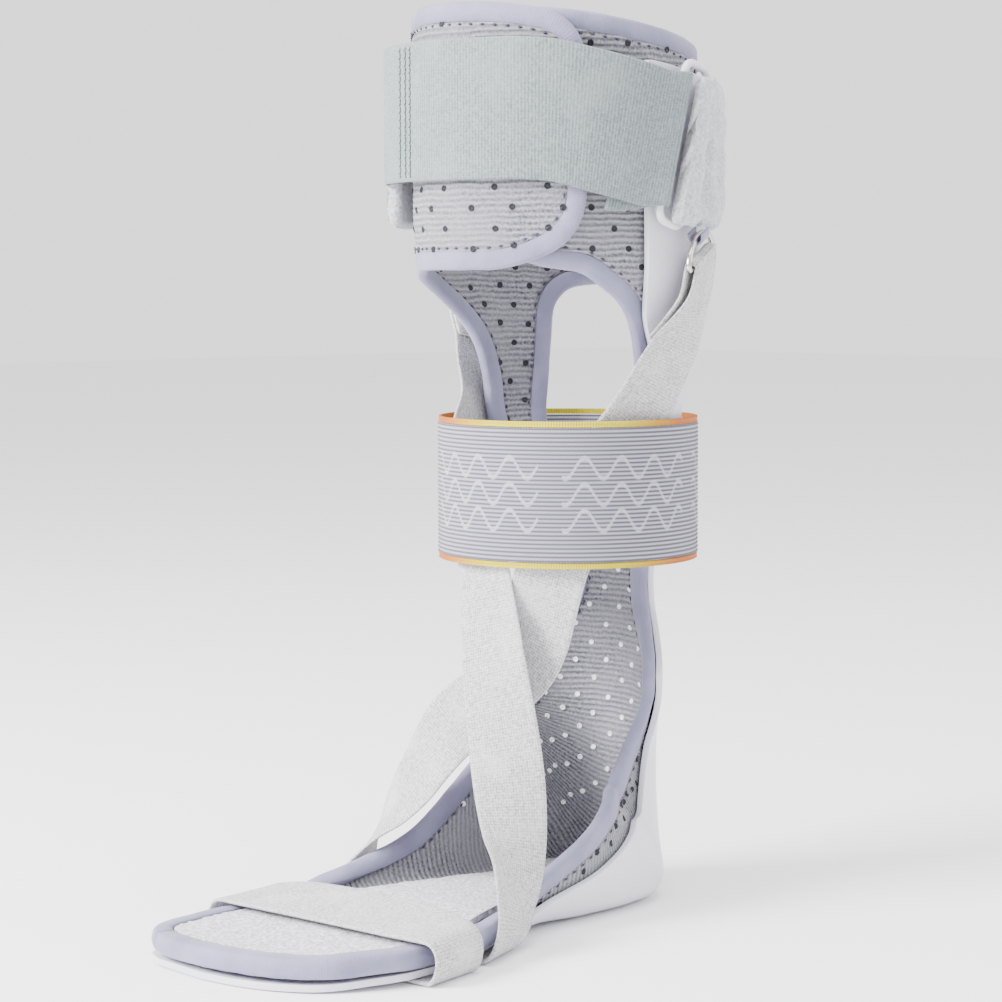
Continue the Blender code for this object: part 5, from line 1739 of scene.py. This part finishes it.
def build_slot_ring(look):
    """A rounded rectangle of plastic, tilted in the plane that touches the cuff."""
    centre, across, up, _ = slot_ring_frame()
    half_width = SLOT_RING_WIDTH / 2
    half_height = SLOT_RING_HEIGHT / 2 - SLOT_RING_WIRE / 2
    corner = half_width * 0.6
    points = []
    for x_sign, y_sign, start in ((1, 1, 0), (-1, 1, 90), (-1, -1, 180), (1, -1, 270)):
        for step in range(9):
            turn = math.radians(start + 11.25 * step)
            x = x_sign * (half_width - corner) + corner * math.cos(turn)
            y = y_sign * (half_height - corner) + corner * math.sin(turn)
            points.append(centre + across * x + up * y)
    wire("slot_loop", points, SLOT_RING_WIRE, look, "plastic", "slot_ring")


def calf_strap_course():
    ring, across, up, outward = slot_ring_frame()
    bar = slot_bar_angle(1.0)
    radius = SLOT_RING_WIRE / 2 + CLEARANCE + CALF_STRAP_THICKNESS / 2
    centre = ring + across * (SLOT_RING_WIDTH / 2)
    places = []
    sides = []
    for step in range(FOLD_STEPS + 1):
        turn = math.pi * step / FOLD_STEPS
        places.append(centre - outward * (radius * math.cos(turn)) - across * (radius * math.sin(turn)))
        sides.append(up)
    for reach in CALF_RETURN_REACHES:
        angle = bar + math.degrees(reach * CALF_RETURN / (CUFF_WIDTH / 2))
        places.insert(0, cuff_place(angle, SLOT_RING_CENTRE, slot_bar_stand_off() - radius))
        sides.insert(0, leaning(angle, 1.0))
    for angle, share in CALF_STRAP_ROWS:
        part = min(max((angle - bar) / CALF_RISE_ANGLE, 0.0), 1.0)
        places.append(cuff_place(angle, SLOT_RING_CENTRE + CALF_STRAP_RISE * part, share * CALF_STAND_OFF))
        sides.append(leaning(angle, 1.0 - part))
    return places, sides


def build_calf_strap(look, thread):
    places, sides = calf_strap_course()
    piece = strap("calf_elastic", places, sides, CALF_STRAP_WIDTH, CALF_STRAP_THICKNESS,
                  STRAP_PARTS, CALF_COLUMNS, CALF_BEAD)
    dress(piece, look, "pale_elastic", "calf_strap")
    stitch_tab(places, sides, thread)


def stitch_tab(places, sides, thread):
    """Zigzag rows that hold the folded tab near the strap's free end."""
    path = curve_through(places, TAB_PARTS)[::-1]
    widths = curve_through(sides, TAB_PARTS)[::-1]
    mesh = bmesh.new()
    travelled = 0.0
    due = list(TAB_COLUMNS)
    for index in range(1, len(path)):
        back = path[index] - path[index - 1]
        travelled += back.length
        if not due or travelled < due[0]:
            continue
        due.pop(0)
        along = widths[index].normalized()
        out = back.cross(along).normalized()
        if out.dot(path[index] - Vector((0.0, LEG_AXIS_Y, path[index].z))) < 0.0:
            out.negate()
        for row in range(TAB_STITCHES):
            share = (row + 0.5) / TAB_STITCHES - 0.5
            tilt = TAB_TILT if row % 2 else -TAB_TILT
            centre = path[index] + along * (share * CALF_STRAP_WIDTH * TAB_SHARE)
            way = (back.normalized() * tilt + along).normalized()
            add_stitch(mesh, centre + out * (CALF_STRAP_THICKNESS / 2 + TAB_RISE), way, way.cross(out), out)
    dress(to_object("calf_tab_stitches", mesh), thread, "pale_elastic")


def leg_distance(places):
    return np.hypot(places[:, 0], places[:, 1] - LEG_AXIS_Y)


def build_pad_strap(look):
    """The puffy strap: pinched at its edges, bulging and wrinkled between."""
    stand_off = pad_stand_off()
    bar = slot_bar_angle(-1.0)
    start = bar - math.degrees((SLOT_RING_WIRE + CLEARANCE) / (CUFF_WIDTH / 2 + stand_off))
    places = []
    sides = []
    for step in range(PAD_STEPS + 1):
        angle = start - (start + PAD_FAR_END) * step / PAD_STEPS
        part = min((start - angle) / PAD_LEVEL_ANGLE, 1.0)
        places.append(cuff_place(angle, PAD_HEIGHT, stand_off))
        sides.append(leaning(angle, 1.0 - part))
    reach = CUFF_WIDTH / 2 + stand_off
    over = SLOT_RING_WIRE + PAD_THICKNESS / 2
    for run, lift in PAD_OVER_RING:
        angle = start + math.degrees(run / reach)
        places.insert(0, cuff_place(angle, PAD_HEIGHT, stand_off + over * lift + SLOT_RING_WIRE / 2))
        sides.insert(0, leaning(angle, 1.0))
    piece = strap("pad_fleece", places, sides, PAD_WIDTH, PAD_THICKNESS, PAD_PARTS, PAD_COLUMNS, PAD_PINCH)
    points, normals, _ = coordinates(piece)
    bulge = soft_noise(points, 0.011, 2.0)
    wrinkle = soft_noise(points * np.array([1.0, 1.0, 0.45]), 0.006, 9.0)
    fuzz = soft_noise(points, 0.0016, 4.0)
    away = leg_distance(points + normals * 0.001) > leg_distance(points)
    push(piece, (PAD_BULGE * bulge + PAD_WRINKLE * wrinkle) * away + PAD_FUZZ * fuzz)
    dress(piece, look, "fleece", "pad_strap")


def build_stage():
    """A plain pale floor, soft studio lights and the camera."""
    mesh = bmesh.new()
    bmesh.ops.create_grid(mesh, x_segments=1, y_segments=1, size=FLOOR_HALF)
    data = bpy.data.meshes.new("floor")
    mesh.to_mesh(data)
    mesh.free()
    floor = bpy.data.objects.new("floor", data)
    bpy.context.scene.collection.objects.link(floor)
    floor.location.z = FLOOR_Z
    look = Nodes("floor_look", 0.9)
    data.materials.append(look.finish((0.93, 0.93, 0.94)))
    world = bpy.data.worlds.new("studio")
    world.use_nodes = True
    world.node_tree.nodes["Background"].inputs[0].default_value = (1.0, 1.0, 1.0, 1.0)
    world.node_tree.nodes["Background"].inputs[1].default_value = WORLD_STRENGTH
    bpy.context.scene.world = world
    for name, place, size, power in LIGHTS:
        light = bpy.data.lights.new(name, "AREA")
        light.size = size
        light.energy = power
        lamp = bpy.data.objects.new(name, light)
        bpy.context.scene.collection.objects.link(lamp)
        lamp.location = place
        lamp.rotation_euler = (LIGHT_TARGET - Vector(place)).to_track_quat("-Z", "Y").to_euler()
    camera = bpy.data.cameras.new("camera")
    camera.lens = CAMERA_LENS
    camera.sensor_width = 36.0
    camera.shift_x = CAMERA_SHIFT
    holder = bpy.data.objects.new("camera", camera)
    bpy.context.scene.collection.objects.link(holder)
    holder.location = CAMERA_PLACE
    holder.rotation_euler = (CAMERA_TARGET - CAMERA_PLACE).to_track_quat("-Z", "Y").to_euler()
    bpy.context.scene.camera = holder


def main():
    build_stage()
    plastic = plastic_look()
    textile = textile_look()
    tape = tape_look()
    elastic = elastic_look("elastic_look", (0.24, 0.232, 0.245), (0.66, 0.65, 0.67), 0.0012, 0.5)
    pale = elastic_look("pale_elastic_look", (0.105, 0.135, 0.142), (0.25, 0.285, 0.295), 0.0013, 0.8)
    thread = plain_look("thread_look", (0.045, 0.04, 0.075), 0.8)
    pale_thread = plain_look("pale_thread_look", (0.17, 0.215, 0.215), 0.8)
    # painted shade: near-black colour of the discs inside most eyelets
    dark = plain_look("hole_painted_shade_look", (0.012, 0.012, 0.016), 0.9)
    light = plain_look("hole_light_look", (0.88, 0.88, 0.90), 0.6)
    build_shell(plastic)
    liner, loops = build_liner(textile)
    build_bindings(tape, thread, loops)
    build_perforations(liner, dark, light)
    build_insole(terry_look())
    build_cross_straps(elastic)
    build_forefoot_strap(elastic)
    build_band(knit_look(), trim_look())
    build_d_rings(metal_look(), tape)
    build_slot_ring(plastic)
    build_calf_strap(pale, pale_thread)
    build_pad_strap(fleece_look())


main()
